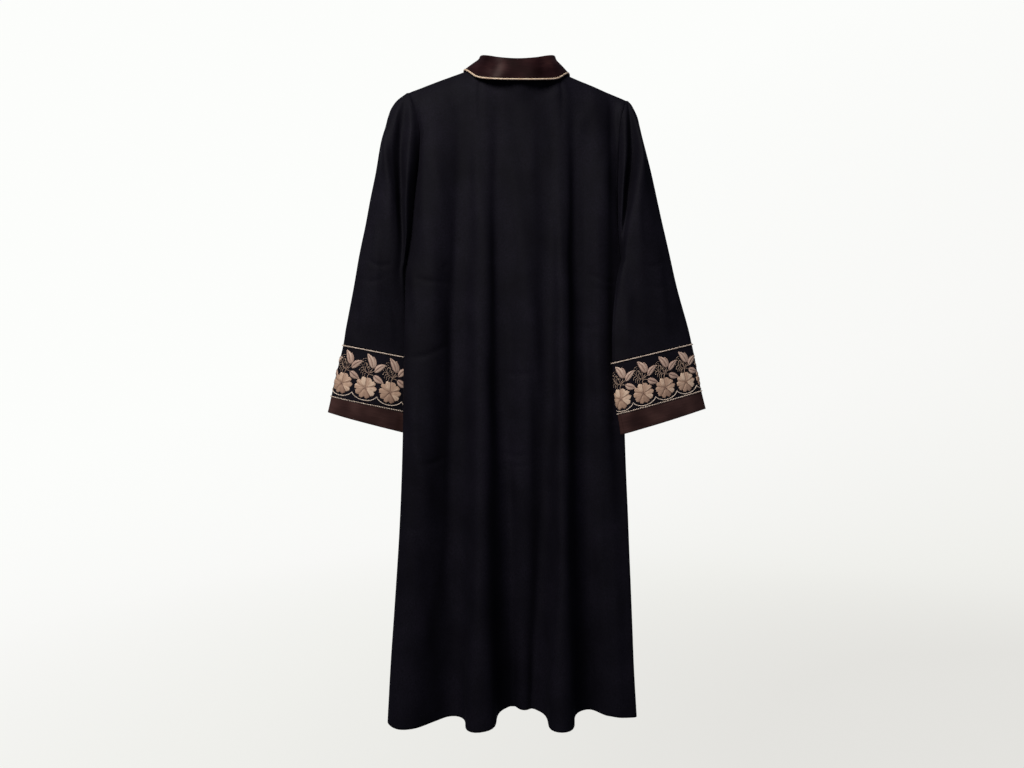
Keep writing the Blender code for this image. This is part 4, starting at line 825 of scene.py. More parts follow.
# ---- sleeves --------------------------------------------------------------
def sleeve_knots(sleeve, outer_z, inner_z, back_point=None, front_point=None):
    """Knots of one ring of a sleeve, from the armhole's back round to its front."""
    outer_x = table_value(sleeve["outer"], 1, outer_z)
    if back_point is None:
        inner_x = table_value(sleeve["inner"], 1, inner_z)
        back_point = (inner_x, -table_value(sleeve["inner"], 2, inner_z), inner_z)
        front_point = back_point
    inner_x = back_point[0]
    knots = [back_point]
    outline = np.array(sorted((abs(x), z) for z, x in sleeve["outer"])).T
    for _, shares, depths in sleeve["lines"]:
        share = level_value(SLEEVE_LEVELS, shares, (outer_z + inner_z) / 2)
        x = inner_x + share * (outer_x - inner_x)
        z = inner_z + share * (outer_z - inner_z)
        top = np.interp(abs(x), *outline)
        depth = level_value(SLEEVE_LEVELS, depths, z)
        cap = clamped((z - CAP_END) / (CAP_START - CAP_END))
        depth += (rounded_over(depth, top - z) - depth) * cap
        knots.append((x, -depth, z))
    knots.append(front_point)
    return np.array(knots, float)


def ring_curve(knots, closed):
    if closed:
        end = (knots[1] - knots[-2]) / 2
        return curve_through(knots, COLUMN_STEPS, (end, end))
    return curve_through(knots, COLUMN_STEPS, (knots[1] - knots[0], knots[-1] - knots[-2]))


def cut_heights(start, end, share):
    return tuple(s + (e - s) * share for s, e in zip(start, end))


def cuff_ring(sleeve, cut):
    return ring_curve(sleeve_knots(sleeve, *cut), True)


def sleeve_grid(sleeve, back_edge, front_edge):
    grid = []
    for back_point, front_point in zip(back_edge, front_edge):
        z = back_point[2]
        closed = len(grid) == len(back_edge) - 1
        knots = sleeve_knots(sleeve, z, z, back_point, front_point)
        if not grid:
            knots[:] = back_point
        grid.append(ring_curve(knots, closed))
    underarm = back_edge[-1][2]
    for share in np.linspace(0, 1, ROWS["sleeve"] + 1)[1:]:
        cut = cut_heights((underarm, underarm), sleeve["band_top"], share)
        grid.append(cuff_ring(sleeve, cut))
    return np.array(grid)


def tube_sheet(sleeve, start, end, rows, facing_in):
    """Rings of a sleeve from the cut start to the cut end."""
    grid = [cuff_ring(sleeve, cut_heights(start, end, r / (rows - 1))) for r in range(rows)]
    return Sheet(np.array(grid), facing_in=facing_in, closed_from=0)


def fade(values, size):
    """1 inside a sheet, falling to 0 over the first rows or columns at its edges."""
    return eased(np.asarray(values) / size)


# ---- the crepe pieces -----------------------------------------------------
UNDERARM_LEAN = 0.4  # how far out the cloth faces where four seams meet under the arm
BAND_FADE = 8  # rows over which a sleeve's creases fade out to its band


def inside_edges(sheet):
    """1 over a sheet, falling to 0 at its seams, so that neighbours still meet there."""
    r, c = np.arange(sheet.rows), np.arange(sheet.columns)
    return fade(r, SEAM_FADE)[:, None] * (fade(c, SEAM_FADE) * fade(c[::-1], SEAM_FADE))[None]


def make_garment(crepe):
    """The five crepe panels. Gives their sheets, and the row at the underarm."""
    back_points, back_a, back_b = body_grid(BACK_LINES, front=False)
    front_points, front_a, front_b = body_grid(FRONT_LINES, front=True)
    underarm = int(np.argmin(abs(back_points[:, 0, 2] - UNDERARM_Z)))
    back, front = Sheet(back_points), Sheet(front_points, facing_in=True)
    for sheet, a, b in ((back, back_a, back_b), (front, front_a, front_b)):
        for c in range(sheet.columns):
            point = sheet.grid[0, c]
            on_neck = a <= c <= b
            sheet.normal[0, c] = neck_wall(point) if on_neck else shoulder_normal(point[0])
    sleeves = []
    for sleeve, c, side in ((LEFT_SLEEVE, 0, -1), (RIGHT_SLEEVE, -1, 1)):
        edges = (cloth.grid[: underarm + 1, c] for cloth in (back, front))
        grid = sleeve_grid(sleeve, *edges)
        sheet = Sheet(grid, facing_in=c == 0, one_top=True, closed_from=underarm)
        for r in range(1, underarm):
            for panel, at in ((back, 0), (front, -1)):
                both = unit(panel.normal[r, c] + sheet.normal[r, at])
                panel.normal[r, c] = sheet.normal[r, at] = both
        for r in range(underarm + 1, back.rows):
            both = unit(back.normal[r, c] + front.normal[r, c])
            back.normal[r, c] = front.normal[r, c] = both
        for cloth, at in ((back, c), (front, c), (sheet, 0), (sheet, -1)):
            cloth.normal[underarm, at] = unit((side * UNDERARM_LEAN, 0, -1))
        sheet.normal[0, :] = shoulder_normal(back.grid[0, c, 0])
        sleeves.append(sheet)

    for sheet, creases in ((back, BACK_CREASES), (front, FRONT_CREASES)):
        lay_creases(sheet, creases, inside_edges(sheet))
        for edge in ("first", "last", "top"):
            pull_in_seam(sheet, edge)
    for sheet, creases in zip(sleeves, (LEFT_SLEEVE_CREASES, RIGHT_SLEEVE_CREASES)):
        c = np.arange(sheet.columns) / (sheet.columns - 1)
        where = inside_edges(sheet)
        where[-BAND_FADE:] *= np.linspace(1, 0, BAND_FADE)[:, None]
        on_back = eased((FACE_TURN + FACE_BLEND - c) / (2 * FACE_BLEND))
        for face, side in (("back", on_back), ("front", 1 - on_back)):
            rows = [row[1:] for row in creases if row[0] == face]
            lay_creases(sheet, rows, where * side[None])
        for edge in ("first", "last"):
            pull_in_seam(sheet, edge)

    left = front.part(0, line_column("lap_right", FRONT_LINES))
    right = front.part(line_column("lap_left", FRONT_LINES), front.columns - 1)
    lift = LAP_LIFT * eased(1 - np.arange(right.columns) / (LAP_REACH * COLUMN_STEPS))
    right.grid += right.normal * lift[None, :, None]
    pieces = dict(
        back_panel=back, front_left=left, front_right=right,
        sleeve_left=sleeves[0], sleeve_right=sleeves[1],
    )
    for name, sheet in pieces.items():
        made = sheet.shell(name + "_cloth", CREPE, crepe)
        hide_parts(name)
    return pieces, underarm


# Stitches: half height and half length, spacing on crepe and on satin, and the first
# rows that have them at the armholes and at the centre front.
STITCH, CREPE_PITCH, SATIN_PITCH = (0.35, 1.35), 4.4, 3.6
SHOULDER_ROW, COLLAR_ROW = 3, 12
# Where they run: above the hem, beside a seam on either side, inside a satin edge.
HEM_ROW, SEAM_COLUMNS, SATIN_ROW = -6, (4, -5), -3


def stitch_row(sheet, row=None, column=None, start=0, end=None, pitch=CREPE_PITCH):
    """Places of the stitches along a row or a column of a sheet."""
    cut = (row, slice(start, end)) if row is not None else (slice(start, end), column)
    path, ways = sheet.grid[cut], sheet.normal[cut]
    count = max(int(path_length(path) / pitch), 2)
    points, out = evenly_with(path, ways, count)
    along = np.gradient(points, axis=0)
    return [(p + n * CREPE / 2, n, t, STITCH) for p, n, t in zip(points, out, along)]


def make_stitches(pieces, underarm, thread):
    """Stitches along the hem, the armholes and the centre front."""
    back, left, right = (pieces[name] for name in ("back_panel", "front_left", "front_right"))
    rows = []
    for sheet in (back, left, right):
        rows += stitch_row(sheet, row=HEM_ROW)
    first, last = SEAM_COLUMNS
    for sheet, column in ((back, first), (left, first), (right, last), (back, last)):
        rows += stitch_row(sheet, column=column, start=SHOULDER_ROW, end=underarm)
    for sheet, column in ((right, first), (left, last)):
        rows += stitch_row(sheet, column=column, start=COLLAR_ROW)
    made = beads("crepe_stitches", rows, thread, sides=4, rings=3)


# ---- collar ---------------------------------------------------------------
def make_collar(satin, cord, thread):
    seam, fold, edge = collar_curve(1), collar_curve(2), collar_curve(3)
    columns = []
    for a, b, c in zip(seam, fold, edge):
        outward = unit((c - b) * (1, 1, 0))
        turn = b - unit(b - a) * FOLD_DROP
        column = [a, (a + turn) / 2, turn]
        for out, down, bulge, lift in LEAF_ROWS:
            way = (c - b) * (out, out, down)
            column.append(b + way + outward * FOLD_BULGE * bulge + np.array((0, 0, lift)))
        columns.append(curve_through(column, 6, roundness=0.9))
    grid = np.array(columns).transpose(1, 0, 2)
    sheet = Sheet(grid)
    if np.dot(sheet.normal[0, 0], neck_wall(seam[0])) < 0:
        sheet = Sheet(grid, facing_in=True)
    # The leaf isn't ironed flat: soft dents and rolls along it, more to the left.
    x = sheet.grid[..., 0]
    row = np.arange(sheet.rows)
    leaf = fade(row - LEAF_START, 6) * fade(row[::-1] + 1, 5)
    back_side = sheet.grid[..., 1] < 0
    roll = sum(height * swell_at(x, place, width) for place, width, height in COLLAR_ROLLS)
    sheet.grid += sheet.normal * (roll * leaf[:, None] * back_side)[..., None]
    sheet.set_normals()
    leaf_piece = sheet.shell("collar_satin", SATIN, satin)
    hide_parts("collar")

    away = unit(sheet.grid[-1] - sheet.grid[-2])
    path = sheet.grid[-1] + away * (PIPING / 2 - PIPING_BITE)
    route = (path, sheet.normal[-1], PIPING / 2, False)
    piping = tubes("collar_piping_cord", [route], cord, sides=10)
    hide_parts("collar_piping")
    rows = [
        (p + n * (SATIN - CREPE) / 2, n, t, sizes)
        for p, n, t, sizes in stitch_row(sheet, row=SATIN_ROW, pitch=SATIN_PITCH)
    ]
    made = beads("collar_stitches", rows, thread, sides=4, rings=3)


# ---- embroidered bands ----------------------------------------------------
class BandCloth:
    """The ground of a band, reached by place round it and depth down it."""

    def __init__(self, sleeve, facing_in):
        cuts = sleeve["band_top"], sleeve["band_end"]
        self.sheet = tube_sheet(sleeve, *cuts, BAND_ROWS, facing_in)
        self.mirror = -1 if facing_in else 1
        middle = self.sheet.grid[self.sheet.rows // 2]
        self.along = reach_along(middle)
        self.round = self.along[-1]
        start = round(sleeve["layout_start"] * COLUMN_STEPS)
        self.start = self.along[start] + sleeve["layout_shift"]
        self.level = sleeve["flower_level"]
        self.down = np.linalg.norm(self.sheet.grid[-1] - self.sheet.grid[0], axis=1).mean()
        self.repeats = round(self.round / REPEAT_WIDTH)
        self.pitch = self.round / self.repeats
        self.scale = self.pitch / MOTIF_PITCH

    def at(self, along, down):
        """Points of the cloth and its outward directions, at places in millimetres."""
        along = (np.asarray(along) + self.start) % self.round
        column = np.interp(along, self.along, range(len(self.along)))
        row = np.clip(np.asarray(down) / self.down, 0, 1) * (self.sheet.rows - 1)
        r = np.minimum(row.astype(int), self.sheet.rows - 2)
        c = np.minimum(column.astype(int), len(self.along) - 2)
        u, v = (column - c)[..., None], (row - r)[..., None]
        found = []
        for grid in (self.sheet.grid, self.sheet.normal):
            upper = grid[r, c] * (1 - u) + grid[r, c + 1] * u
            lower = grid[r + 1, c] * (1 - u) + grid[r + 1, c + 1] * u
            found.append(upper * (1 - v) + lower * v)
        return found[0], unit(found[1])

    def sewn(self, k, x, y, lift):
        """Points of repeat k, right of and below its flower's centre, and raised."""
        middle = (k + 0.5) * self.pitch + self.mirror * FLOWER_SHIFT
        along = middle + self.mirror * np.asarray(x) * self.scale
        points, out = self.at(along, self.down * self.level + np.asarray(y) * self.scale)
        return points + out * (CREPE / 2 + np.asarray(lift))[..., None], out


def flower_patch():
    """x, y, lift, tone and thread lay of a flower of satin stitch, as rings of points."""
    angles, rings = 80, (0.04, 0.16, 0.3, 0.46, 0.62, 0.78, 0.9, 0.97, 1.0, 1.0)
    a = 2 * math.pi * np.arange(angles) / angles
    petal = a / (2 * math.pi) * PETALS
    across = (petal % 1) - 0.5
    number = petal.astype(int)
    lobes = np.abs(np.sin(2 * math.pi * petal)) ** 0.55
    edge = FLOWER_RADIUS * (1 - LOBE_DEPTH + LOBE_DEPTH * lobes)
    # Hand-guided satin stitch: no petal ends in quite the same line.
    edge *= 1 + RAGGED * np.sin(19 * a + 1.3 * number) * np.sin(7 * a + 0.7)
    tones = np.array(PETAL_TONES)[number]
    groove_width, groove_depth, darker = PETAL_GROOVE
    rows = []
    for i, share in enumerate(rings):
        r = edge * share
        gap = (0.5 - np.abs(across)) * 2 * math.pi / PETALS * r
        groove = swell_at(gap, 0, groove_width)
        crown = 1.1 * math.sin(math.pi * min(share * 0.82 + 0.12, 1)) + 0.5 * across * share
        lift = 0.9 + crown - groove_depth * groove * (share > 0.1)
        if share == 1.0:
            lift = np.full(angles, 0.7 if i < len(rings) - 1 else -0.4)
        # Painted shade darkens each groove between petals, and painted light makes one side
        # of every petal lighter than the other. The centre is a little darker.
        tone = tones - darker * groove * (share < 0.97) - 0.12 * (share < 0.2) + 0.16 * across
        rows.append(np.stack([r * np.sin(a), -r * np.cos(a), lift, tone, r, a * 9], -1))
    patch = np.array(rows)
    index = np.arange(patch.shape[0] * angles).reshape(-1, angles)
    faces = grid_faces(index, closed_columns=True).tolist() + [index[0].tolist()[::-1]]
    return patch.reshape(-1, 6), faces


def leaf_patch(base, tip, bend, width, height, tone):
    """The same for a pointed leaf or petal, laid in slanted stitches from its midrib."""
    b, t = np.array(base, float), np.array(tip, float)
    long = np.linalg.norm(t - b)
    way = (t - b) / long
    side = np.array((-way[1], way[0]))
    ends = np.linspace(0.0, 1.0, 15)
    cross = np.array((-1, -1, -0.92, -0.68, -0.4, -0.12, 0, 0.12, 0.4, 0.68, 0.92, 1, 1))
    s, place = np.meshgrid(cross, ends)
    half = width / 2 * np.sin(math.pi * place**0.85) ** 0.8 + 0.25
    axis = b + place[..., None] * (t - b) + (bend * 4 * place * (1 - place))[..., None] * side
    flat = axis + (s * half)[..., None] * side
    rise = np.sin(math.pi * np.clip(place, 0.04, 0.96)) ** 0.5
    lift = 0.5 + height * (1 - np.abs(s) ** 2.5) * rise
    lift -= MIDRIB[1] * swell_at(s * half, 0, MIDRIB[0]) * (place < 0.9)
    lift[:, 0] = lift[:, -1] = -0.4
    # Painted shade darkens the midrib's groove, and painted light makes one half of the leaf
    # lighter than the other. The tone also rises towards the sides and drops at the outer
    # edge.
    midrib_shade = MIDRIB_SHADE[1] * swell_at(s * half, 0, MIDRIB_SHADE[0]) * (place < 0.88)
    tones = tone + 0.05 + 0.12 * np.abs(s) - midrib_shade + 0.08 * s - 0.3 * (np.abs(s) > 0.9)
    lay = np.stack([place * long - np.abs(s) * half * 0.8, s * half], -1)
    patch = np.concatenate([flat, lift[..., None], tones[..., None], lay], -1)
    index = np.arange(patch.shape[0] * patch.shape[1]).reshape(patch.shape[:2])
    return patch.reshape(-1, 6), grid_faces(index).tolist()


def sew_patches(name, cloth, patches, finish):
    """Every patch on every repeat of a band, as one piece. No two are quite one tone."""
    points, faces, tones, lays, first = [], [], [], [], 0
    for k in range(cloth.repeats):
        for patch, patch_faces in patches:
            placed, out = cloth.sewn(k, patch[:, 0], patch[:, 1], patch[:, 2])
            a, b, c = placed[list(patch_faces[len(patch_faces) // 3][:3])]
            flip = np.dot(np.cross(b - a, c - a), out[0]) < 0
            for face in patch_faces:
                face = face[::-1] if flip else face
                faces.append(tuple(first + i for i in face))
            points.append(placed)
            tones.append(patch[:, 3] + TONE_DRIFT * math.sin(2.4 * k + 1))
            lays.append(patch[:, 4:])
            first += len(placed)
    points, tones, lays = (np.concatenate(found) for found in (points, tones, lays))
    return sewn_piece(name, points, faces, finish, tones, lays)


def band_threads(cloth):
    """Paths of the couched threads on every repeat, and places of the knots."""
    paths, knots = [], []
    for k in range(cloth.repeats):
        for stroke, thick in THREADS:
            line = curve_through([(*p, 0.0) for p in stroke], 7)
            share = np.linspace(0, 1, len(line))
            radius = thick / 2 * (0.45 + 0.55 * np.sin(math.pi * np.clip(share, 0.08, 0.92)))
            path, out = cloth.sewn(k, line[:, 0], line[:, 1], np.full(len(line), thick * 0.3))
            paths.append((path, out, radius, False))
        for x, y, radius in KNOTS:
            place = np.array([[x], [y], [radius * 0.35]])
            (centre,), (out,) = cloth.sewn(k, *place)
            knots.append((centre, out, np.cross(out, KNOT_LIE), (radius * 0.8, radius)))
    return paths, knots


def scallop_path(cloth):
    """The thin cord that dips under every flower and peaks between them."""
    points = []
    for k in range(cloth.repeats):
        x = np.linspace(-0.5, 0.5, 27)[:-1]
        dip = 1 - np.abs(2 * x) ** 2.4
        peak = swell_at(np.abs(x), 0.5, SCALLOP_PEAK[0]) * SCALLOP_PEAK[1]
        y = SCALLOP_TOP + (SCALLOP_LOW - SCALLOP_TOP) * dip - peak
        lift = np.full(len(x), SCALLOP_LIFT)
        path, out = cloth.sewn(k, cloth.mirror * x * MOTIF_PITCH, y, lift)
        points.append(np.concatenate([path, out], 1))
    both = np.concatenate(points)
    return both[:, :3], both[:, 3:]


def ring_at(cloth, down, lift, count):
    """Even points round a band at one depth, and their outward directions."""
    along = np.linspace(0, cloth.round, 241)[:-1]
    path, out = cloth.at(along, np.full(len(along), float(down)))
    path = path + out * lift
    return evenly_with(path, out, count, closed=True)


def twisted(path, out):
    """Two strands laid round each other along a closed path."""
    turns = round(path_length(path, closed=True) / CORD_TWIST)
    across = np.cross(unit(closed_ways(path)), out)
    angle = 2 * math.pi * turns * np.arange(len(path)) / len(path)
    strands = []
    for half in (0, math.pi):
        way = np.cos(angle + half)[:, None] * out + np.sin(angle + half)[:, None] * across
        strands.append((path + way * CORD_STRAND * STRAND_OFFSET, way, CORD_STRAND, True))
    return strands


def make_band(side, sleeve, facing_in, finishes):
    cloth = BandCloth(sleeve, facing_in)
    node = "band_" + side
    ground = cloth.sheet.shell(node + "_ground", CREPE, finishes["ground"])
    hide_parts(node)
    flowers = sew_patches(node + "_flowers", cloth, [flower_patch()], finishes["flower"])
    leaves = [leaf_patch(*row[1:]) for row in LEAVES]
    leaves = sew_patches(node + "_leaves", cloth, leaves, finishes["leaf"])
    paths, knots = band_threads(cloth)
    threads = tubes(node + "_threads", paths, finishes["thread"], sides=5)
    tones = [0.75 if i % len(KNOTS) in PALE_KNOTS else 0.3 for i in range(len(knots))]
    dots = beads(node + "_knots", knots, finishes["thread"], sides=6, rings=4, tone=tones)
    path, out = scallop_path(cloth)
    route = (path, out, CORD_STRAND, True)
    scallop = tubes(node + "_scallops", [route], finishes["gold"])

    path, out = ring_at(cloth, CORD_INSET, CREPE / 2 + TWIST_LIFT, TWIST_POINTS)
    top = tubes("band_cord_%s_twist" % side, twisted(path, out), finishes["gold"])
    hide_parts("band_cord_" + side)
    count = int(cloth.round / BEAD_PITCH)
    path, out = ring_at(cloth, cloth.down - CORD_INSET, CREPE / 2 + BEAD_LIFT, count)
    places = [(p, n, t, CORD_BEAD) for p, n, t in zip(path, out, closed_ways(path))]
    low = beads("cuff_cord_%s_beads" % side, places, finishes["gold"])
    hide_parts("cuff_cord_" + side)
    return ground, [flowers, leaves, threads, dots, scallop, top, low]


def make_cuff(side, sleeve, facing_in, satin, thread):
    cuts = sleeve["band_end"], sleeve["cuff_end"]
    sheet = tube_sheet(sleeve, *cuts, CUFF_ROWS, facing_in)
    place = np.arange(sheet.columns) / (sheet.columns - 1) * 2 * math.pi
    depth = np.arange(sheet.rows) / (sheet.rows - 1)
    for number, turn, height, to_hem in CUFF_WAVES:
        down = depth if to_hem else np.sin(math.pi * depth)
        wave = np.sin(number * place + turn)[None] * down[:, None] * height
        sheet.grid += sheet.normal * wave[..., None]
    sheet.set_normals()
    made = sheet.shell("cuff_%s_satin" % side, CREPE, satin)
    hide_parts("cuff_" + side)
    rows = stitch_row(sheet, row=SATIN_ROW, pitch=SATIN_PITCH)
    stitches = beads("cuff_%s_stitches" % side, rows, thread, sides=4, rings=3)
    return made, stitches


# ---- finishes -------------------------------------------------------------
# Places on a ramp and colours there.
CREPE_STOPS = ((0.12, "#0c0a11"), (0.26, "#121018"), (0.42, "#191620"))
FLOWER_STOPS = ((0.3, "#5f443a"), (0.64, "#a1816e"), (0.93, "#c8a68e"), (1.18, "#e3c6ad"))
LEAF_STOPS = ((0.3, "#46332f"), (0.58, "#95786c"), (0.84, "#bf9f8e"), (1.05, "#dabfac"))
THREAD_STOPS = ((0.3, "#5d4b45"), (0.6, "#9a7f70"), (1.0, "#dcc0a6"))
STUDIO_PAINTED_FALLOFF = ((0.04, "#fcfdfb"), (0.3, "#f8f8f6"), (0.55, "#efefeb"), (0.8, "#e3e2de"))
COLLAR_BROWNS = ("#180b0c", "#241315", "#3c2424")
CUFF_BROWNS = ("#281918", "#362321", "#49322f")


def linear(hex_colour):
    """An sRGB hex colour as linear red, green, blue and alpha."""
    parts = [int(hex_colour[i : i + 2], 16) / 255 for i in (1, 3, 5)]
    return (*(p / 12.92 if p <= 0.04045 else ((p + 0.055) / 1.055) ** 2.4 for p in parts), 1)


def add_node(tree, kind, links=None, stops=None, **settings):
    """Adds a node with its settings. links gives each socket a value or another's output."""
    made = tree.nodes.new(kind)
    for name, value in settings.items():
        setattr(made, name, value)
    for place, hex_colour in stops or ():
        ramp = made.color_ramp.elements
        spot = {stops[0][0]: ramp[0], stops[-1][0]: ramp[-1]}.get(place) or ramp.new(place)
        spot.position, spot.color = place, linear(hex_colour)
    for socket, value in (links or {}).items():
        if isinstance(value, bpy.types.NodeSocket):
            tree.links.new(value, made.inputs[socket])
        else:
            made.inputs[socket].default_value = value
    return made


class Finish:
    """A material whose principled shader takes procedural colour and relief."""

    def __init__(self, name, specular, sheen=None, **shader):
        self.made = bpy.data.materials.new(name)
        self.made.use_nodes = True
        self.tree = self.made.node_tree
        self.shader = self.tree.nodes["Principled BSDF"]
        shader.update(IOR=1.5, Specular_IOR_Level=specular)
        if sheen:
            shader["Sheen_Tint"] = linear(sheen)
        for socket, value in shader.items():
            self.shader.inputs[socket.replace("_", " ")].default_value = value

    def noise(self, size, detail=2.0, stretch=None):
        """Noise this many millimetres wide. Stretched, it follows the lay of the threads."""
        if stretch is None:
            where = add_node(self.tree, "ShaderNodeTexCoord").outputs["Object"]
            scale = 1 / (size * MM)
        else:
            lay = add_node(self.tree, "ShaderNodeUVMap", uv_map="thread_lay").outputs["UV"]
            links = {"Vector": lay, "Scale": (1 / (stretch * MM), 1 / (size * MM), 1)}
            where = add_node(self.tree, "ShaderNodeMapping", links).outputs[0]
            scale = 1.0
        links = {"Vector": where, "Scale": scale, "Detail": detail}
        return add_node(self.tree, "ShaderNodeTexNoise", links).outputs["Fac"]

    def sewn_tone(self):
        tone = add_node(self.tree, "ShaderNodeAttribute", attribute_name="tone")
        return tone.outputs["Fac"]

    def mixed(self, *values):
        """The product of two values, plus a third if there is one."""
        kind = "MULTIPLY" if len(values) == 2 else "MULTIPLY_ADD"
        values = dict(enumerate(values))
        return add_node(self.tree, "ShaderNodeMath", values, operation=kind).outputs[0]

    def colour(self, value, stops, socket="Base Color"):
        ramp = add_node(self.tree, "ShaderNodeValToRGB", {"Fac": value}, stops=stops)
        self.tree.links.new(ramp.outputs["Color"], self.shader.inputs[socket])
        return self.made

    def relief(self, height, strength, depth):
        """Bumps up to this many millimetres deep."""
        links = {"Height": height, "Strength": strength, "Distance": depth * MM}
        bump = add_node(self.tree, "ShaderNodeBump", links)
        self.tree.links.new(bump.outputs["Normal"], self.shader.inputs["Normal"])
        return self.made


def black_crepe():
    # Polyester crepe, woven from tightly twisted yarn: its pebbled face scatters light,
    # so the black is deep and matte, with a faint cool sheen where a fold turns away.
    crepe = Finish(
        "matte_black_crepe", 0.08, "#8a86a0", Roughness=0.72, Sheen_Roughness=0.5,
        Sheen_Weight=0.012,
    )
    pebble = crepe.noise(2.4)  # the real pebble is about 0.4 mm, too small to show
    cloud = crepe.noise(90, detail=3.0)  # slow change of tone from handling and hanging
    crepe.colour(crepe.mixed(pebble, cloud), CREPE_STOPS)
    return crepe.relief(pebble, 0.35, 0.3)


def brown_satin(name, stops, roughness, gloss):
    # Polyester satin, woven with long floats along the piece: smooth, with broad soft
    # highlights that stretch across the floats, and fine lines of single yarns.
    satin = Finish(
        name, gloss, "#b08d84", Roughness=roughness, Anisotropic=0.35, Sheen_Weight=0.015,
        Sheen_Roughness=0.3, Specular_Tint=linear("#f6d6cf"),
    )
    yarns = satin.noise(1.8, stretch=30)  # yarns lie 0.15 mm apart, too fine to show
    cloud = satin.noise(45, detail=1.5)  # soft shading, as pressed satin has
    satin.colour(satin.mixed(yarns, 0.35, cloud), tuple(zip((0.45, 0.66, 0.88), stops)))
    return satin.relief(yarns, 0.25, 0.15)


def satin_stitch(name, stops, sheen, spacing):
    # Rayon embroidery thread laid side by side in satin stitch: silky, lighter on each
    # crown, with fine parallel lines that follow the lay of the stitches.
    stitch = Finish(
        name, 0.3, sheen, Roughness=0.5, Anisotropic=0.3, Sheen_Weight=0.08,
        Sheen_Roughness=0.35,
    )
    # The threads are 0.4 mm thick, too thin to show.
    threads = stitch.noise(spacing, detail=1.0, stretch=14)
    stitch.colour(stitch.mixed(threads, 0.5, stitch.sewn_tone()), stops)
    return stitch.relief(threads, 0.5, 0.35)


def couched_thread():
    # Couched curls and knots of dull silk thread: dark taupe, paler on the raised knots.
    thread = Finish("couched_taupe_thread", 0.25, Roughness=0.6, Sheen_Weight=0.05)
    twist = thread.noise(1.2, detail=1.0)  # twist of the thread
    thread.colour(thread.mixed(twist, 0.4, thread.sewn_tone()), THREAD_STOPS)
    return thread.relief(twist, 0.4, 0.2)


def laid_cord(name, dark, light, spacing, sheen):
    # Cord of glossy rayon yarns laid together: pale ridges with darker lines between.
    cord = Finish(name, 0.4, sheen, Roughness=0.42, Sheen_Weight=0.08, Sheen_Roughness=0.3)
    yarn = cord.noise(spacing)
    cord.colour(yarn, ((0.32, dark), (0.62, light)))
    return cord.relief(yarn, 0.3, 0.2)


def sewing_thread(name, dark, light):
    # Spun polyester sewing thread: matte, a little paler than the cloth it is sewn in.
    thread = Finish(name, 0.2, Roughness=0.65)
    return thread.colour(thread.noise(1.5), ((0.35, dark), (0.65, light)))


def plain_studio():
    # Glows by itself as a light table does, so that it stays even and free of shadows. The
    # glow is painted light
    # with a painted falloff: palest high on the left, a little greyer on the floor about the
    # cloak.
    glow = Finish(
        "pale_studio_glow", 0.0, Roughness=0.9, Base_Color=linear("#101010"),
        Emission_Strength=1.0,
    )
    where = add_node(glow.tree, "ShaderNodeTexCoord").outputs["Object"]
    # The painted falloff fades over 5 m from a place on the floor, to the right of the cloak.
    links = {"Vector": where, "Location": (-0.3, 0, 0.3), "Scale": (0.2, 0.2, 0.2)}
    placed = {"Vector": add_node(glow.tree, "ShaderNodeMapping", links).outputs[0]}
    spot = add_node(glow.tree, "ShaderNodeTexGradient", placed, gradient_type="SPHERICAL")
    return glow.colour(spot.outputs["Fac"], STUDIO_PAINTED_FALLOFF, "Emission Color")


# ---- studio ---------------------------------------------------------------
# The floor's height and reach, the bend up to the wall, and the wall's top, in metres.
FLOOR_Z, FLOOR_REACH, BEND, WALL_TOP = -1.48, 2.6, 1.4, 5.5
FLOOR_SIDES = 96
CAMERA = dict(place=(-0.0115, -1.729, -0.628), lens=30.27)
# name, place, aim, size, power, colour
LIGHTS = (
    ("key_upper_left", (-1.15, -2.05, 1.25), (0, 0, -0.6), 1.4, 76, "#fffdf8"),
    ("fill_right", (2.4, -2.2, 0.1), (0, 0, -0.7), 2.4, 5, "#f6f8ff"),
    ("front_upper_right", (0.2, 2.35, 0.5), (0, 0, -0.6), 0.8, 66, "#fffdfa"),
    ("front_left", (-2.4, 2.2, 0.2), (0, 0, -0.7), 2.4, 5, "#f8faff"),
)
WORLD_LIGHT, WORLD_COLOUR = 0.09, "#dde3ff"


def make_studio(paint):
    """A pale floor that bends up all round into a wall, far from the cloak."""
    bend = np.linspace(0.1, math.pi / 2, 14)
    radius = np.array([FLOOR_REACH, *(FLOOR_REACH + BEND * np.sin(bend)), FLOOR_REACH + BEND])
    height = np.array([0, *(BEND - BEND * np.cos(bend)), WALL_TOP])
    turn = 2 * math.pi * np.arange(FLOOR_SIDES) / FLOOR_SIDES
    x, y = np.outer(radius, np.cos(turn)), np.outer(radius, np.sin(turn))
    points = np.stack([x, y, np.repeat(FLOOR_Z + height[:, None], FLOOR_SIDES, 1)], -1)
    number = np.arange(x.size).reshape(x.shape)
    faces = [number[0].tolist()]
    faces += grid_faces(number, closed_columns=True)[:, TURNED].tolist()
    floor = put_in_scene("studio_floor", smooth_mesh("studio_floor", points, faces, paint))
    floor.visible_diffuse = floor.visible_glossy = False


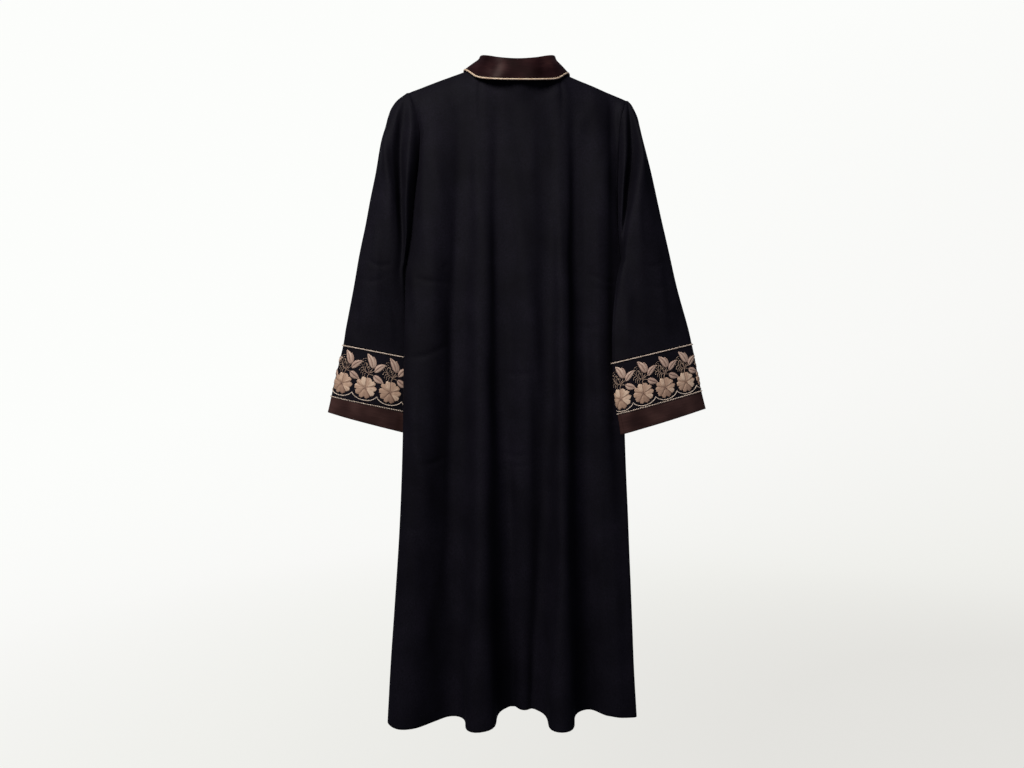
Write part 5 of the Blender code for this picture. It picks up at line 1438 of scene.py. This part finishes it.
def make_lights():
    for name, place, aim, size, power, colour in LIGHTS:
        light = bpy.data.lights.new(name, "AREA")
        light.shape, light.size, light.energy = "DISK", size, power
        light.color = linear(colour)[:3]
        lamp = put_in_scene(name, light)
        lamp.location = place
        way = Vector(aim) - Vector(place)
        lamp.rotation_euler = way.to_track_quat("-Z", "Y").to_euler()
        lamp.visible_camera = False
    world = bpy.data.worlds.new("pale_room")
    world.use_nodes = True
    background = world.node_tree.nodes["Background"].inputs
    background["Color"].default_value = linear(WORLD_COLOUR)
    background["Strength"].default_value = WORLD_LIGHT
    bpy.context.scene.world = world
    bpy.context.scene.view_settings.view_transform = "Standard"


def make_camera():
    camera = bpy.data.cameras.new("camera")
    camera.lens, camera.sensor_width = CAMERA["lens"], 36.0
    eye = put_in_scene("camera", camera)
    eye.location = CAMERA["place"]
    eye.rotation_euler = (math.pi / 2, 0, 0)
    bpy.context.scene.camera = eye


def main():
    make_camera()
    crepe = black_crepe()
    collar_satin = brown_satin("dark_brown_satin", COLLAR_BROWNS, 0.34, 0.06)
    cuff_satin = brown_satin("brown_satin", CUFF_BROWNS, 0.46, 0.2)
    gold = laid_cord("gold_rayon_cord", "#a58c7a", "#fbe8d6", 1.5, "#fff0e6")
    cream = laid_cord("cream_satin_piping", "#c9a98c", "#ecd3b8", 5.0, "#fff4e6")
    black_thread = sewing_thread("black_sewing_thread", "#0b0b0e", "#16161b")
    brown_thread = sewing_thread("brown_sewing_thread", "#20140f", "#35231f")
    finishes = dict(
        ground=crepe,
        flower=satin_stitch("beige_satin_stitch", FLOWER_STOPS, "#fff0e4", 1.6),
        leaf=satin_stitch("rose_beige_satin_stitch", LEAF_STOPS, "#ffe9e0", 1.3),
        thread=couched_thread(),
        gold=gold,
    )
    pieces, underarm = make_garment(crepe)
    make_stitches(pieces, underarm, black_thread)
    make_collar(collar_satin, cream, brown_thread)
    shown = bpy.data.objects
    trims = [shown["collar_piping_cord"], shown["collar_stitches"]]
    for side, sleeve in (("left", LEFT_SLEEVE), ("right", RIGHT_SLEEVE)):
        facing_in = side == "left"
        ground, trims = make_band(side, sleeve, facing_in, finishes)
        satin, stitches = make_cuff(side, sleeve, facing_in, cuff_satin, brown_thread)
    make_studio(plain_studio())
    make_lights()


main()
